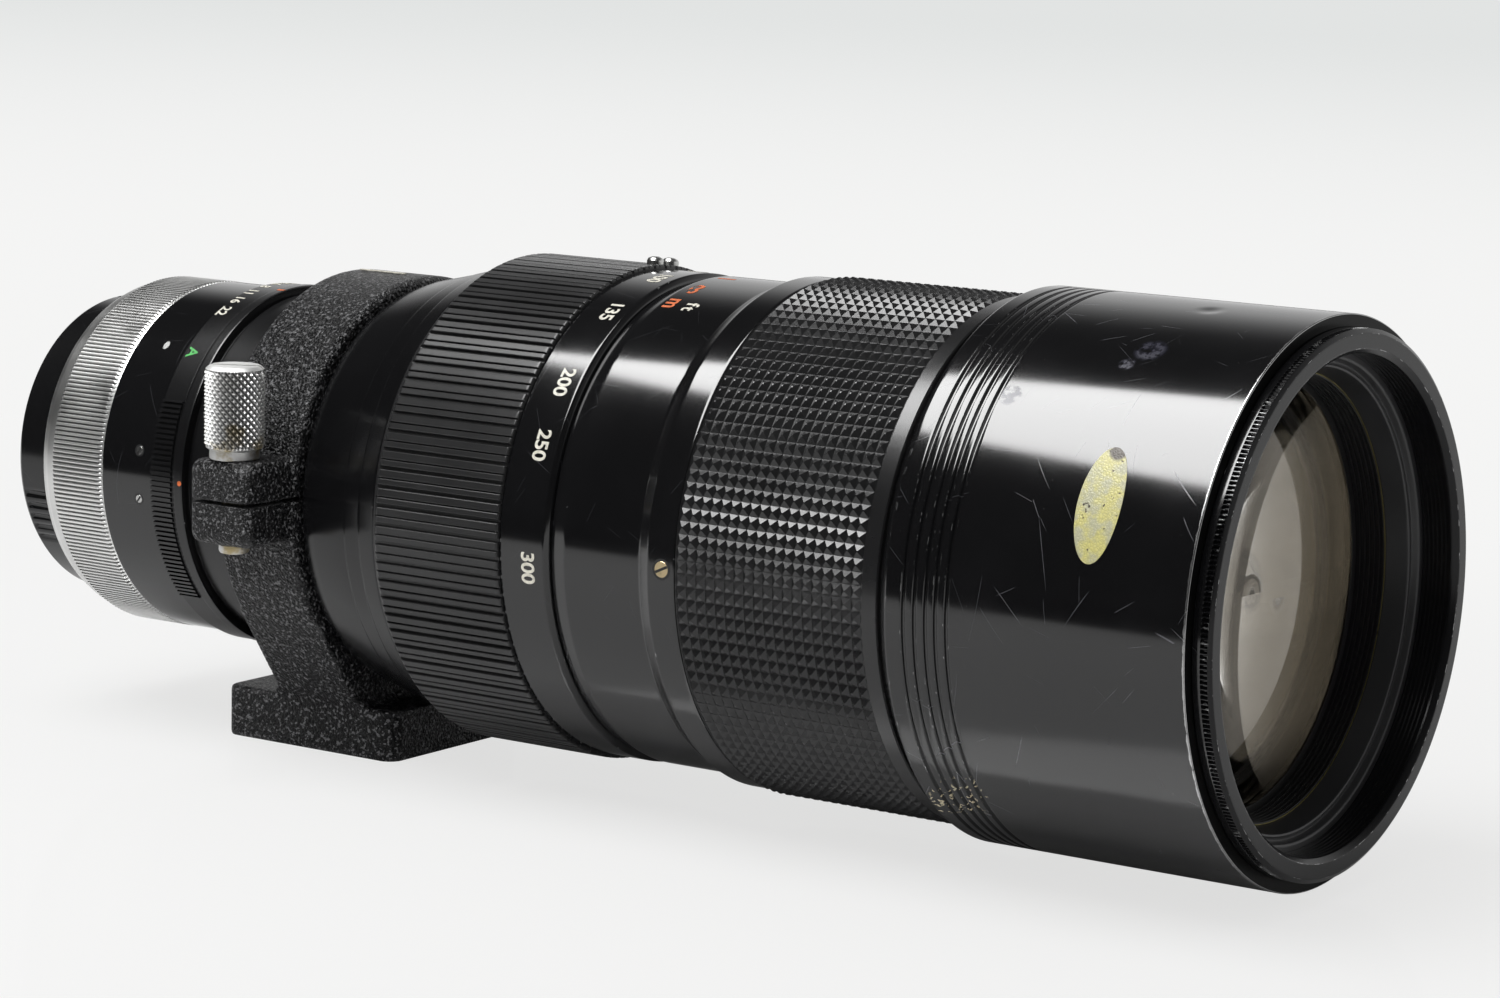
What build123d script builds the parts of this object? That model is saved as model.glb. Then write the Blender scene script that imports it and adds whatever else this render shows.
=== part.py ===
from build123d import *
import os
from math import acos, atan2, cos, degrees, hypot, radians, sin, sqrt

# Long zoom lens with a tripod collar. Millimetres. The lens axis is X, +X points to the front,
# the origin is where the axis meets the camera's flange plane, and the foot hangs down in -Z.
# An angle round the lens is counted from the top (+Z) towards -Y.

os.makedirs("parts", exist_ok=True)

# Clearances
run = 0.05              # radial, between a turning piece and what it turns on
seat = 0.05             # radial, between two pieces fixed to each other
face_gap = 0.05         # along the axis, between neighbouring faces
turn_gap = 0.15         # along the axis, between the end faces of turning rings
free = 0.10             # radial, between pieces that pass each other
overrun = 1.0           # how far a cutting tool goes past what it cuts
edge_bevel = 0.3
undercut = 0.45

# Camera mount. Its spigot's radius drives every radius behind the zoom ring.
spigot_r = 23.9
spigot_wall = 0.8
spigot_length = 5.2
spigot_bore_r = spigot_r - spigot_wall
flange_thickness = 3.2
mount_tube_bore_r = spigot_r + 1.75
mount_tube_wall = 2.25
mount_tube_r = mount_tube_bore_r + mount_tube_wall
flange_r = mount_tube_r + 1.0

# Rear cap
cap_wall = 1.4
cap_plug_r = spigot_r + 1.0 + cap_wall
cap_bevel = 1.2
cap_r = cap_plug_r + cap_bevel
cap_gap = 0.3
cap_depth = 9.0
cap_groove_count = 5
cap_groove_groups = 6
cap_groove_start = 44.0
cap_groove_pitch = 4.85
cap_groove_depth = 0.5
cap_groove_r = 0.8

# Breech ring
breech_rear_x = -3.5
breech_front_x = 12.6
breech_r = flange_r + 3.1
breech_nose_r = breech_r - 2.1
breech_nose = ((0.9, 0), (0.2, 0.5), (-1.6, 0.9), (-2.9, 1.5))   # (x, drop below the ring's radius)
breech_bore_r = flange_r + free
lug_ring_bore_r = breech_bore_r - 1.5
lug_r = cap_plug_r + 0.5
lug_ring_thickness = 1.6
lug_count = 3
lug_angle = 50.0
cap_rear_x = breech_rear_x - cap_depth

# Rear barrel
rear_barrel_bore_r = mount_tube_bore_r + 0.35
rear_spigot_r = rear_barrel_bore_r + 4.0
aperture_seat_r = rear_spigot_r + 0.6
rear_barrel_r = aperture_seat_r + 1.3
aperture_rear_x = breech_front_x + 12.4
aperture_length = 5.25
aperture_front_x = aperture_rear_x + aperture_length
mount_tube_end_x = aperture_rear_x - 2.0
rear_spigot_end_x = aperture_front_x + 3.15
set_screw_x = aperture_rear_x - 3.7
set_screw_r = 1.1
set_screw_sunk = 0.15
set_screw_angles = (80.9, 96.6, 200.9, 320.9)
dimple_x = aperture_rear_x - 5.7
dimple_r = 0.8
dimple_depth = 0.5
dimple_angle = 44.3

# Aperture ring
aperture_ring_r = aperture_seat_r + 2.1
aperture_bead = 0.1
grip_r = aperture_ring_r + 0.5
grip_starts = (64.3, 244.3)
grip_sweep = 66.0
grip_grooves = 24
grip_groove = (0.3, 0.75)       # shares of a groove's pitch
grip_groove_depth = 0.45
stop_angles = (34, 15.4, 8.4, 1.4, -5.6, -12.6, -18)   # ring angles at which the ball clicks
aperture_open = 18.0    # ring angle at the widest stop
aperture_auto = -34.0   # ring angle at the automatic mark
click_ball_r = 1.2
click_notch_r = 0.6
click_angle = 120.0
click_spring_half = 15.0        # degrees to either side of the ball
click_spring_width = 3.6
click_spring_thickness = 0.45

# Levers at the mount
lever_r = spigot_bore_r - 0.5
lever_thickness = 1.0
lever_half_width = 4.0
lever_ring_x = flange_thickness + 0.1
lever_ring_thickness = 1.2
lever_retainer_thickness = 1.6
signal_ring_bore_r = mount_tube_bore_r - 1.65
signal_bar_r = signal_ring_bore_r + 0.9
signal_angle = 230.0
signal_reach = 7.0
key_angle = 250.0
key_half_width = 3.0
key_x = aperture_rear_x + 2.5
key_length = 1.8
key_depth = 0.9
key_end_gap = 0.4
key_slot_margin = 1.0           # degrees
key_side_gap = 0.3              # degrees
stop_angle = 150.0
stop_reach = 9.0
stop_ring_x = lever_ring_x + 3.6
stop_ring_length = 3.1
stop_ring_r = signal_ring_bore_r - free
stop_bar_bore_r = lever_r
stop_bar_r = stop_bar_bore_r + 1.0
stop_travel = 17.0      # degrees that the stop-down lever turns
lever_slot_margin = 2.5         # degrees to either side of a lever's sweep

# Main barrel and index band
index_band_r = aperture_ring_r + 0.2
index_band_end_x = aperture_front_x + 2.25
main_barrel_r = rear_spigot_r + 1.5
main_bore_r = rear_spigot_r - 1.5
collar_seat_r = main_barrel_r + 0.8
main_spigot_r = main_bore_r + 2.5

# Tripod collar
collar_rear_x = index_band_end_x + 11.0
collar_width = 17.5
collar_front_x = collar_rear_x + collar_width
collar_r = collar_seat_r + 4.5
collar_bevel = 0.8
retainer_r = collar_seat_r + 1.6
retainer_thickness = 1.5
foot_rear_x = collar_rear_x - 13.5
foot_front_x = collar_front_x + 8.0
foot_half_width = 18.45
foot_bottom_z = -(collar_r + 10.36)
foot_thickness = 9.1
foot_corner_r = 3.0
foot_edge_r = 0.6
leg_fillet = 3.0
foot_relief_gap = 0.5
tab_rear_x = collar_rear_x + 3.5
tab_front_x = collar_front_x - 0.4
tab_y = -(collar_r + 10.9)
tab_top_z = 8.2
tab_bottom_z = -6.5
tab_round = 2.0
split_z = 1.0
split_width = 0.8
socket_x = collar_rear_x + 6.0
socket_r = 3.175        # quarter inch tripod thread
socket_depth = 6.5
bush_r = 5.5
bush_length = 7.6
bush_sunk = 0.05

# Clamp screw
screw_x = collar_rear_x + 10.0
screw_y = tab_y + 4.8
screw_shank_r = 2.15
screw_tip_z = -8.2
screw_neck_r = 4.45
screw_neck_top_z = 10.5
screw_head_r = 5.15
screw_head_top_z = 23.8
screw_head_bevel = 0.7
screw_slot_width = 1.3
screw_slot_depth = 2.0
screw_flutes = 24
screw_flute_r = 0.5

# Flared barrel: its outside as (distance from its rear, share of its widening)
flare_rear_x = collar_front_x + turn_gap
flare_steps = ((0, 0), (0.45, 0.247), (1.05, 0.365), (2.45, 0.471), (4.35, 0.541), (8.35, 0.682),
               (13.05, 0.706), (13.25, 0.753), (17.15, 0.812), (17.35, 0.871), (21.25, 1), (21.75, 1))
main_front_x = flare_rear_x + 4.85
guide_rear_x = main_front_x + 2.1
flare_land_r = main_spigot_r + 2.0

# Guide tube and cam tube. The guide tube's radius drives every radius from here to the front.
guide_r = 36.6
guide_bore_r = guide_r - 1.6
cam_tube_r = guide_r + 1.8
flare_rear_r = main_spigot_r + 1.5
flare_front_r = guide_r + 4.4
flare_profile = [(flare_rear_x + x, flare_rear_r + share * (flare_front_r - flare_rear_r))
                 for x, share in flare_steps]
flare_end_x = flare_profile[-1][0]
follower_r = 1.4
follower_gap = 0.15
zoom_wide = 14.0        # ring angle at the shortest focal length
zoom_long = -83.0       # ring angle at the longest focal length

# Zoom ring
zoom_rear_x = flare_end_x + turn_gap
zoom_rib_rear_x = zoom_rear_x + 1.35
zoom_rib_front_x = zoom_rear_x + 27.15
zoom_front_x = zoom_rib_front_x + 9.1
zoom_groove_front_x = zoom_rib_front_x - 1.4
zoom_lip_x = zoom_front_x + 0.8
zoom_bore_r = cam_tube_r + seat
zoom_root_r = cam_tube_r + 3.2
zoom_rib_r = zoom_root_r + 1.1
zoom_rib_pairs = 84
zoom_wide_groove = (0.72, 1.0)      # shares of a pair's pitch
zoom_narrow_groove = (0.36, 0.47)
zoom_narrow_depth = 0.5
zoom_band_r = zoom_rib_r - 0.7
zoom_lip_r = zoom_band_r - 1.5
stud_x = zoom_rib_front_x - 2.0
stud_angles = (-4.2, -10.2)
stud_r = 1.0
stud_head_r = 1.45
stud_top_r = zoom_rib_r + 1.3
stud_seat_r = zoom_rib_r - 1.3
cam_rear_x = zoom_rear_x + 1.45
cam_front_x = zoom_front_x
variator_x = zoom_rear_x + 30.12    # follower pins at rest
variator_travel = 18.0  # over the whole turn of the zoom ring
compensator_x = zoom_rear_x + 5.45
compensator_travel = -5.0
variator_angles = (0, 120, 240)
compensator_angles = (60, 180, 300)
carriage_clearance = 0.07
carriage_wall = 1.6
pin_depth = 1.2

# Distance scale ring, focus ring and the fixed tube under them
fixed_tube_r = guide_r + seat + 2.25
fixed_flange_r = fixed_tube_r + 1.5
sleeve_r = fixed_tube_r + 1.6
scale_rear_x = zoom_lip_x + turn_gap
scale_rear_r = fixed_flange_r + 0.6
scale_r = scale_rear_r + 0.8
scale_cone_x = scale_rear_x + 3.15
scale_bevel_x = scale_rear_x + 17.75
scale_band_x = scale_bevel_x + 3.4
scale_band_r = scale_r + 1.4
focus_rear_x = scale_band_x + 5.0
focus_r = scale_band_r + 0.5
focus_knurl_x = focus_rear_x + 35.6
focus_band_r = focus_r - 0.3
focus_front_x = focus_knurl_x + 3.1
focus_lip_r = focus_band_r - 1.0
focus_lip_length = 0.75
focus_spigot_r = scale_rear_r
focus_spigot_x = focus_rear_x - 5.2
focus_grip_pitch = 5.55
focus_grip_rows = 7
focus_grip_columns = 64
focus_groove_half = 0.8
focus_groove_depth = 0.6
fixed_tube_rear_x = scale_rear_x + 0.75
fixed_tube_front_x = focus_front_x - 1.1
fixed_flange_x = focus_spigot_x - 2.6
fixed_flange_thickness = 2.2
focus_screw_x = focus_rear_x - 2.5
focus_screw_angles = (90.4, 210.4, 330.4)
focus_screw_r = 1.45
focus_screw_slot = 0.5
sleeve_rear_x = focus_rear_x + 3.6
guide_front_x = sleeve_rear_x
sleeve_flange_thickness = 5.0
key_slot_rear_x = sleeve_rear_x + 4.0
key_slot_front_x = key_slot_rear_x + 24.0
sleeve_key_length = 12.0
sleeve_key_width = 5.0
sleeve_key_gap = 0.15

# Front barrel
front_throat_r = sleeve_r + 0.5
front_bore_r = front_throat_r + 2.2
front_barrel_r = front_bore_r + 2.3
front_rear_r = front_barrel_r - 1.9
front_rear_x = focus_front_x + focus_lip_length + 0.1
front_chamfer_x = front_rear_x + 1.85
front_x = front_rear_x + 54.55
front_bevel = 0.4
front_throat_x = front_rear_x + 11.05
sleeve_flange_x = front_x - 19.5
groove_x = [front_rear_x + step for step in (5.25, 7.25, 9.25, 11.05, 13.05)]
groove_width = 0.85
groove_depth = 0.5

# Filter ring and name ring
filter_ring_r = front_barrel_r - 1.8
filter_face_outer_r = filter_ring_r - 1.8
filter_face_inner_r = filter_face_outer_r - 1.7
filter_bore_r = filter_face_inner_r - 0.8
filter_front_x = front_x + 3.0
filter_rear_x = front_x - 2.9
filter_bevel = 0.7
name_ring_rear_x = filter_rear_x - 5.1
name_ring_front_x = filter_rear_x - 1.0
name_ring_front_r = filter_bore_r - 2.6
name_ring_rear_r = name_ring_front_r - 0.9
baffle_r = name_ring_rear_r - 0.3

# Glass. A surface is its place on the axis and its sag, counted forward, at the element's edge;
# an element is its rear surface and its front surface, and a doublet has the cemented one between.
cement = 0.05
cell_gap = 0.05         # radial, round the glass
lip = 1.0               # radial, that holds an element in its cell
spacer_wall = 1.2
front_vertex_x = name_ring_rear_x - 0.5
front_glass_r = baffle_r - lip
front_singlet_shape = ((front_vertex_x - 27.4, 1.2), (front_vertex_x - 18.6, -3.6))
front_doublet_shape = ((front_vertex_x - 15.5, 0.8), (front_vertex_x - 11.0, 3.4), (front_vertex_x, -4.9))
variator_glass_r = guide_bore_r - 6.0
variator_glass_x = variator_x + 21.43
variator_doublet_shape = (
    (variator_glass_x, -1.6), (variator_glass_x + 3.0, 3.0), (variator_glass_x + 7.0, 0.4))
variator_singlet_shape = ((variator_glass_x + 8.0, 0.4), (variator_glass_x + 9.4, 1.7))
compensator_glass_r = guide_bore_r - 8.0
compensator_glass_x = compensator_x - 11.1
compensator_doublet_shape = (
    (compensator_glass_x, 1.4), (compensator_glass_x + 1.6, -1.2), (compensator_glass_x + 7.2, -1.6))
rear_cell_r = lever_r - 2.3
rear_glass_r = rear_cell_r - 2.1
rear_singlet_rear_shape = ((-0.9, -0.6), (3.6, -1.4))
rear_singlet_front_shape = ((9.0, 1.2), (14.5, -1.0))
rear_doublet_shape = ((26.0, 1.6), (30.5, 2.2), (38.0, -1.6))

# Iris
iris_rear_x = collar_rear_x + 6.8
iris_shoulder_x = iris_rear_x - 1.8
iris_shoulder_r = main_bore_r - 2.7
iris_ring_r = main_bore_r - 1.9
iris_ring_thickness = 1.5
iris_plate_x = iris_rear_x + 4.8
iris_plate_thickness = 1.9
iris_angle = stop_angle + 5.0   # the first pivot stands beside the stop-down bar
iris_gap = 0.15
first_blade_x = iris_rear_x + 2.1
blade_count = 8
blade_thickness = 0.2
blade_pitch = 0.3
blade_pivot_r = lever_r - 0.2
blade_rim_r = blade_pivot_r - 1.2
blade_bore_r = blade_rim_r - 5.4
blade_tail = 5.0
blade_neck_width = 2.4
blade_boss_r = 1.7
blade_tail_boss_r = 1.3
blade_start = -6.0
blade_end = 100.0
blade_turn = 30.0       # degrees that each blade turns while the lever turns stop_travel
pin_r = 0.6
pin_gap = 0.12
pin_root = 0.05         # how far a pin is sunk in its blade
pin_reach = 1.2         # how far a pivot pin goes into the plate
iris_ring_bore_r = blade_bore_r + 0.6

# Relay
relay_glass_r = main_bore_r - 4.5
relay_glass_x = iris_plate_x + 4.5
relay_rear_shape = ((relay_glass_x, -0.9), (relay_glass_x + 3.0, 0.8))
relay_middle_shape = ((relay_glass_x + 5.4, -0.9), (relay_glass_x + 7.8, -0.6))
relay_front_shape = ((relay_glass_x + 9.6, -0.6), (relay_glass_x + 14.8, -1.8))


def turned(*outline):
    """Solid turned about the lens axis from an outline of (x, radius) points."""
    return revolve(Polygon(*outline, align=None), axis=Axis.X, revolution_arc=360)


def tube(x0, x1, outer, inner):
    """Plain turned tube."""
    return turned((x0, inner), (x1, inner), (x1, outer), (x0, outer))


def sector(x0, x1, inner, outer, start, end):
    """Part of a tube, from one angle round the lens to another."""
    profile = Polygon((x0, inner), (x1, inner), (x1, outer), (x0, outer), align=None)
    return Rot(start + 90, 0, 0) * revolve(profile, axis=Axis.X, revolution_arc=end - start)


def radial(x, angle, r0, r1, radius):
    """Cylinder that stands out from the axis at one angle."""
    post = Cylinder(radius, r1 - r0, align=(Align.CENTER, Align.CENTER, Align.MIN))
    return Rot(angle, 0, 0) * Pos(x, 0, r0) * post


def along(x0, x1, r, angle, radius):
    """Cylinder parallel to the axis, at radius r and one angle."""
    rod = Rot(0, 90, 0) * Cylinder(radius, x1 - x0, align=(Align.CENTER, Align.CENTER, Align.MIN))
    return Rot(angle, 0, 0) * Pos(x0, 0, r) * rod


def surface_x(surface, edge, r):
    """Where a lens surface lies along the axis at radius r."""
    x, sag = surface
    curve = (edge * edge + sag * sag) / (2 * sag)
    depth = abs(curve) - sqrt(curve * curve - r * r)
    return x + (depth if sag > 0 else -depth)


def element(rear, front, edge, gap=0):
    """Glass element between two surfaces, its rear one moved forward by a gap."""
    rear = (rear[0] + gap, rear[1])
    ends = [(surface[0], 0) for surface in (rear, front)]
    rims = [(surface[0] + surface[1], edge) for surface in (rear, front)]
    arcs = [
        ThreePointArc(end, (surface_x(surface, edge, edge / 2), edge / 2), rim)
        for surface, end, rim in zip((rear, front), ends, rims)]
    outline = make_face([arcs[0], Line(rims[0], rims[1]), arcs[1], Line(ends[0], ends[1])])
    return revolve(outline, axis=Axis.X, revolution_arc=360)


def singlet(shape, edge):
    """One element."""
    return [element(shape[0], shape[1], edge)]


def doublet(shape, edge):
    """Two cemented elements."""
    return [element(shape[0], shape[1], edge), element(shape[1], shape[2], edge, cement)]


def rear_stop(surface, edge, wall):
    """Where a ring behind an element must end, if it covers the outer wall of its rear surface."""
    return min(surface_x(surface, edge, r) for r in (edge - wall, edge)) - face_gap


def front_stop(surface, edge, wall):
    """Where a ring in front of an element may begin."""
    return max(surface_x(surface, edge, r) for r in (edge - wall, edge)) + face_gap


def spacer(behind, ahead, edge):
    """Ring that keeps two elements apart, from the front of one to the rear of the next."""
    x0 = front_stop(behind[-1], edge, spacer_wall)
    x1 = rear_stop(ahead[0], edge, spacer_wall)
    return tube(x0, x1, edge, edge - spacer_wall)


def save(name, *solids):
    """Write one node."""
    export_step(solids[0] if len(solids) == 1 else Compound(children=list(solids)), f"parts/{name}.step")


# Camera mount
mount_flange = turned(
    (-spigot_length, spigot_bore_r), (flange_thickness, spigot_bore_r),
    (flange_thickness, mount_tube_bore_r), (mount_tube_end_x, mount_tube_bore_r),
    (mount_tube_end_x, mount_tube_r), (flange_thickness, mount_tube_r), (flange_thickness, flange_r),
    (0, flange_r), (0, spigot_r), (-spigot_length, spigot_r))
save("mount_flange", mount_flange)

# Rear cap: a cup whose rim goes in between the spigot and the lugs
cap_step_x = breech_rear_x - cap_gap
cap_cup = turned(
    (cap_rear_x, 0), (cap_rear_x, cap_r - cap_bevel), (cap_rear_x + cap_bevel, cap_r), (cap_step_x, cap_r),
    (cap_step_x, cap_plug_r), (-cap_gap, cap_plug_r), (-cap_gap, cap_plug_r - cap_wall),
    (cap_rear_x + cap_wall, cap_plug_r - cap_wall), (cap_rear_x + cap_wall, 0))
cap_grooves = [
    along(cap_rear_x + cap_bevel / 2, cap_step_x - cap_bevel / 2, cap_r + cap_groove_r - cap_groove_depth,
          cap_groove_start + group * 360 / cap_groove_groups + line * cap_groove_pitch, cap_groove_r)
    for group in range(cap_groove_groups)
    for line in range(cap_groove_count)]
save("rear_cap", cap_cup - cap_grooves)

# Breech ring, turned in two diameters inside, and the lug ring screwed into it
breech_shoulder_x = flange_thickness + free
save("breech_ring", turned(
    (breech_rear_x, breech_bore_r), (breech_shoulder_x, breech_bore_r),
    (breech_shoulder_x, mount_tube_r + run), (breech_front_x, mount_tube_r + run),
    (breech_front_x, breech_r - edge_bevel), (breech_front_x - edge_bevel, breech_r),
    *[(x, breech_r - drop) for x, drop in breech_nose], (breech_rear_x, breech_nose_r)))
lug_x = breech_rear_x + 0.3
lug_ring = tube(lug_x, lug_x + lug_ring_thickness, breech_bore_r - seat, lug_ring_bore_r)
for lug in range(lug_count):
    middle = lug * 360 / lug_count
    lug_ring += sector(lug_x, lug_x + lug_ring_thickness, lug_r, breech_bore_r - seat,
                       middle - lug_angle / 2, middle + lug_angle / 2)
save("bayonet_lug_ring", lug_ring)

# Rear barrel with its screw holes, the slot for the aperture key and the pocket of the click spring
rear_barrel_x = breech_front_x + face_gap
key_slot_start = key_angle + aperture_auto - key_half_width - key_slot_margin
key_slot_end = key_angle + aperture_open + key_half_width + key_slot_margin
key_slot_length = key_length + 2 * key_end_gap
mount_recess_end_x = mount_tube_end_x + 0.2
rear_barrel = turned(
    (rear_barrel_x, mount_tube_r + seat), (mount_recess_end_x, mount_tube_r + seat),
    (mount_recess_end_x, rear_barrel_bore_r), (rear_spigot_end_x, rear_barrel_bore_r),
    (rear_spigot_end_x, rear_spigot_r), (aperture_front_x, rear_spigot_r),
    (aperture_front_x, aperture_seat_r), (aperture_rear_x - face_gap, aperture_seat_r),
    (aperture_rear_x - face_gap, rear_barrel_r), (rear_barrel_x, rear_barrel_r))
for angle in set_screw_angles:
    rear_barrel -= radial(set_screw_x, angle, mount_tube_r, rear_barrel_r + overrun, set_screw_r + seat)
rear_barrel -= radial(
    dimple_x, dimple_angle, rear_barrel_r - dimple_depth, rear_barrel_r + overrun, dimple_r)
rear_barrel -= sector(
    key_x - key_slot_length / 2, key_x + key_slot_length / 2, rear_barrel_bore_r - overrun,
    aperture_seat_r + overrun, key_slot_start, key_slot_end)
click_x = key_x
click_spring_r = aperture_seat_r - 2 * click_ball_r - run
click_pocket_half = click_spring_half + 1.0
rear_barrel -= sector(
    click_x - click_spring_width / 2 - 2 * free, click_x + click_spring_width / 2 + 2 * free,
    rear_barrel_bore_r - overrun, click_spring_r + free, click_angle - click_pocket_half,
    click_angle + click_pocket_half)
rear_barrel -= radial(
    click_x, click_angle, rear_barrel_bore_r, aperture_seat_r + overrun, click_ball_r + seat)
save("rear_barrel", rear_barrel)
save("barrel_screws", *[
    radial(set_screw_x, angle, mount_tube_r + set_screw_sunk, rear_barrel_r - set_screw_sunk, set_screw_r)
    for angle in set_screw_angles])
click_ball = Rot(click_angle, 0, 0) * Pos(click_x, 0, aperture_seat_r - click_ball_r) * Sphere(click_ball_r)
click_spring = sector(
    click_x - click_spring_width / 2, click_x + click_spring_width / 2,
    click_spring_r - click_spring_thickness, click_spring_r,
    click_angle - click_spring_half, click_angle + click_spring_half)
save("click_detent", click_ball, click_spring)

# Aperture ring with two serrated grips, a notch for the key and click notches in its bore
aperture_bore_r = aperture_seat_r + run
aperture_ring = turned(
    (aperture_rear_x, aperture_bore_r), (aperture_front_x - face_gap, aperture_bore_r),
    (aperture_front_x - face_gap, aperture_ring_r),
    (aperture_front_x - edge_bevel, aperture_ring_r + aperture_bead),
    (aperture_front_x - 2 * edge_bevel, aperture_ring_r), (aperture_rear_x + edge_bevel, aperture_ring_r),
    (aperture_rear_x, aperture_ring_r - edge_bevel))
grip_pitch = grip_sweep / grip_grooves
grip_rear_x = aperture_rear_x + 0.5
grip_front_x = aperture_front_x - 0.8
grip_root_r = aperture_ring_r - grip_groove_depth
for start in grip_starts:
    aperture_ring += sector(grip_rear_x, grip_front_x, grip_root_r, grip_r, start, start + grip_sweep)
    grooves = [
        sector(grip_rear_x - free, grip_front_x + free, grip_r - grip_groove_depth, grip_r + overrun,
               start + (groove + grip_groove[0]) * grip_pitch, start + (groove + grip_groove[1]) * grip_pitch)
        for groove in range(grip_grooves)]
    aperture_ring -= grooves
key_tip_r = aperture_bore_r + key_depth
aperture_ring -= sector(
    key_x - key_length / 2 - free, aperture_front_x, aperture_bore_r - overrun, key_tip_r + free,
    key_angle - key_half_width - key_side_gap, key_angle + key_half_width + key_side_gap)
aperture_ring -= [
    along(aperture_rear_x - overrun, aperture_front_x + overrun, aperture_bore_r, click_angle - stop,
          click_notch_r)
    for stop in stop_angles]
save("aperture_ring", aperture_ring)

# Aperture signal lever: ring in the mount, tab out of the mount, bar and key to the aperture ring
lever_ring_end_x = lever_ring_x + lever_ring_thickness
signal_lever = tube(lever_ring_x, lever_ring_end_x, mount_tube_bore_r - run, signal_ring_bore_r)
signal_lever += sector(lever_ring_x, lever_ring_end_x, lever_r - lever_thickness, signal_ring_bore_r + 0.2,
                       signal_angle - lever_half_width, signal_angle + lever_half_width)
signal_lever += sector(-signal_reach, lever_ring_end_x, lever_r - lever_thickness, lever_r,
                       signal_angle - lever_half_width, signal_angle + lever_half_width)
signal_lever += sector(lever_ring_x, key_x + key_length / 2, signal_ring_bore_r, signal_bar_r,
                       key_angle - key_half_width, key_angle + key_half_width)
signal_lever += sector(key_x - key_length / 2, key_x + key_length / 2, signal_ring_bore_r, key_tip_r,
                       key_angle - key_half_width, key_angle + key_half_width)
save("signal_lever", signal_lever)
lever_retainer_x = lever_ring_end_x + free
save("lever_retaining_ring", tube(lever_retainer_x, lever_retainer_x + lever_retainer_thickness,
                                  mount_tube_bore_r - seat, signal_bar_r + free))

# Stop-down lever: ring on the rear lens cell, tab out of the mount, bar to the iris
cell_step_x = stop_ring_x + 1.0
cell_r = lever_r - 0.3
stop_ring_end_x = stop_ring_x + stop_ring_length
iris_ring_x = iris_rear_x + iris_gap
stop_lever = tube(stop_ring_x, stop_ring_end_x, stop_ring_r, cell_r + run)
stop_lever += sector(stop_ring_x, cell_step_x - free, lever_r - lever_thickness, stop_ring_r,
                     stop_angle - lever_half_width, stop_angle + lever_half_width)
stop_lever += sector(-stop_reach, cell_step_x - free, lever_r - lever_thickness, lever_r,
                     stop_angle - lever_half_width, stop_angle + lever_half_width)
stop_lever += sector(stop_ring_end_x - 0.5, iris_ring_x + iris_ring_thickness - free, stop_bar_bore_r,
                     stop_bar_r, stop_angle - key_half_width, stop_angle + key_half_width)
save("stop_down_lever", stop_lever)

# Rear baffle plate with two arc slots for the lever tabs
baffle_x = -2.6
baffle_thickness = 0.6
lever_baffle = tube(baffle_x, baffle_x + baffle_thickness, spigot_bore_r - seat, rear_cell_r + seat)
slot_margin = lever_half_width + lever_slot_margin
lever_slots = (
    (stop_angle - slot_margin, stop_angle + stop_travel + slot_margin),
    (signal_angle + aperture_auto - slot_margin, signal_angle + aperture_open + slot_margin))
for start, end in lever_slots:
    lever_baffle -= sector(baffle_x - overrun, baffle_x + baffle_thickness + overrun,
                           lever_r - lever_thickness - 0.25, lever_r + 0.2, start, end)
save("lever_baffle", lever_baffle)

# Rear lens cell, held by a flange in the main barrel, with a slot where the stop-down bar passes
cell_rear_x = -3.0
cell_lip_x = rear_stop(rear_singlet_rear_shape[0], rear_glass_r, lip)
cell_flange_x = rear_spigot_end_x + 0.6
cell_flange_end_x = cell_flange_x + 3.0
cell_end_x = cell_flange_end_x + 4.0
cell_nose_r = cell_r - 1.0
rear_bore_r = rear_glass_r + cell_gap
rear_cell = turned(
    (cell_rear_x, rear_bore_r - lip), (cell_lip_x, rear_bore_r - lip), (cell_lip_x, rear_bore_r),
    (cell_end_x, rear_bore_r), (cell_end_x, cell_nose_r), (cell_flange_end_x, cell_nose_r),
    (cell_flange_end_x, main_bore_r - seat), (cell_flange_x, main_bore_r - seat), (cell_flange_x, cell_r),
    (cell_step_x, cell_r), (cell_step_x, rear_cell_r), (cell_rear_x, rear_cell_r))
bar_slot_margin = key_half_width + 2.0
rear_cell -= sector(
    cell_flange_x - overrun, cell_flange_end_x + overrun, cell_r - run, stop_bar_r + key_end_gap,
    stop_angle - bar_slot_margin, stop_angle + stop_travel + bar_slot_margin)
save("rear_lens_cell", rear_cell)
save("rear_singlet_rear", *singlet(rear_singlet_rear_shape, rear_glass_r))
save("rear_singlet_front", *singlet(rear_singlet_front_shape, rear_glass_r))
save("rear_doublet", *doublet(rear_doublet_shape, rear_glass_r))
save("rear_spacers", spacer(rear_singlet_rear_shape, rear_singlet_front_shape, rear_glass_r),
     spacer(rear_singlet_front_shape, rear_doublet_shape, rear_glass_r),
     tube(front_stop(rear_doublet_shape[-1], rear_glass_r, spacer_wall), cell_end_x,
          rear_glass_r, rear_glass_r - spacer_wall))

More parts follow.
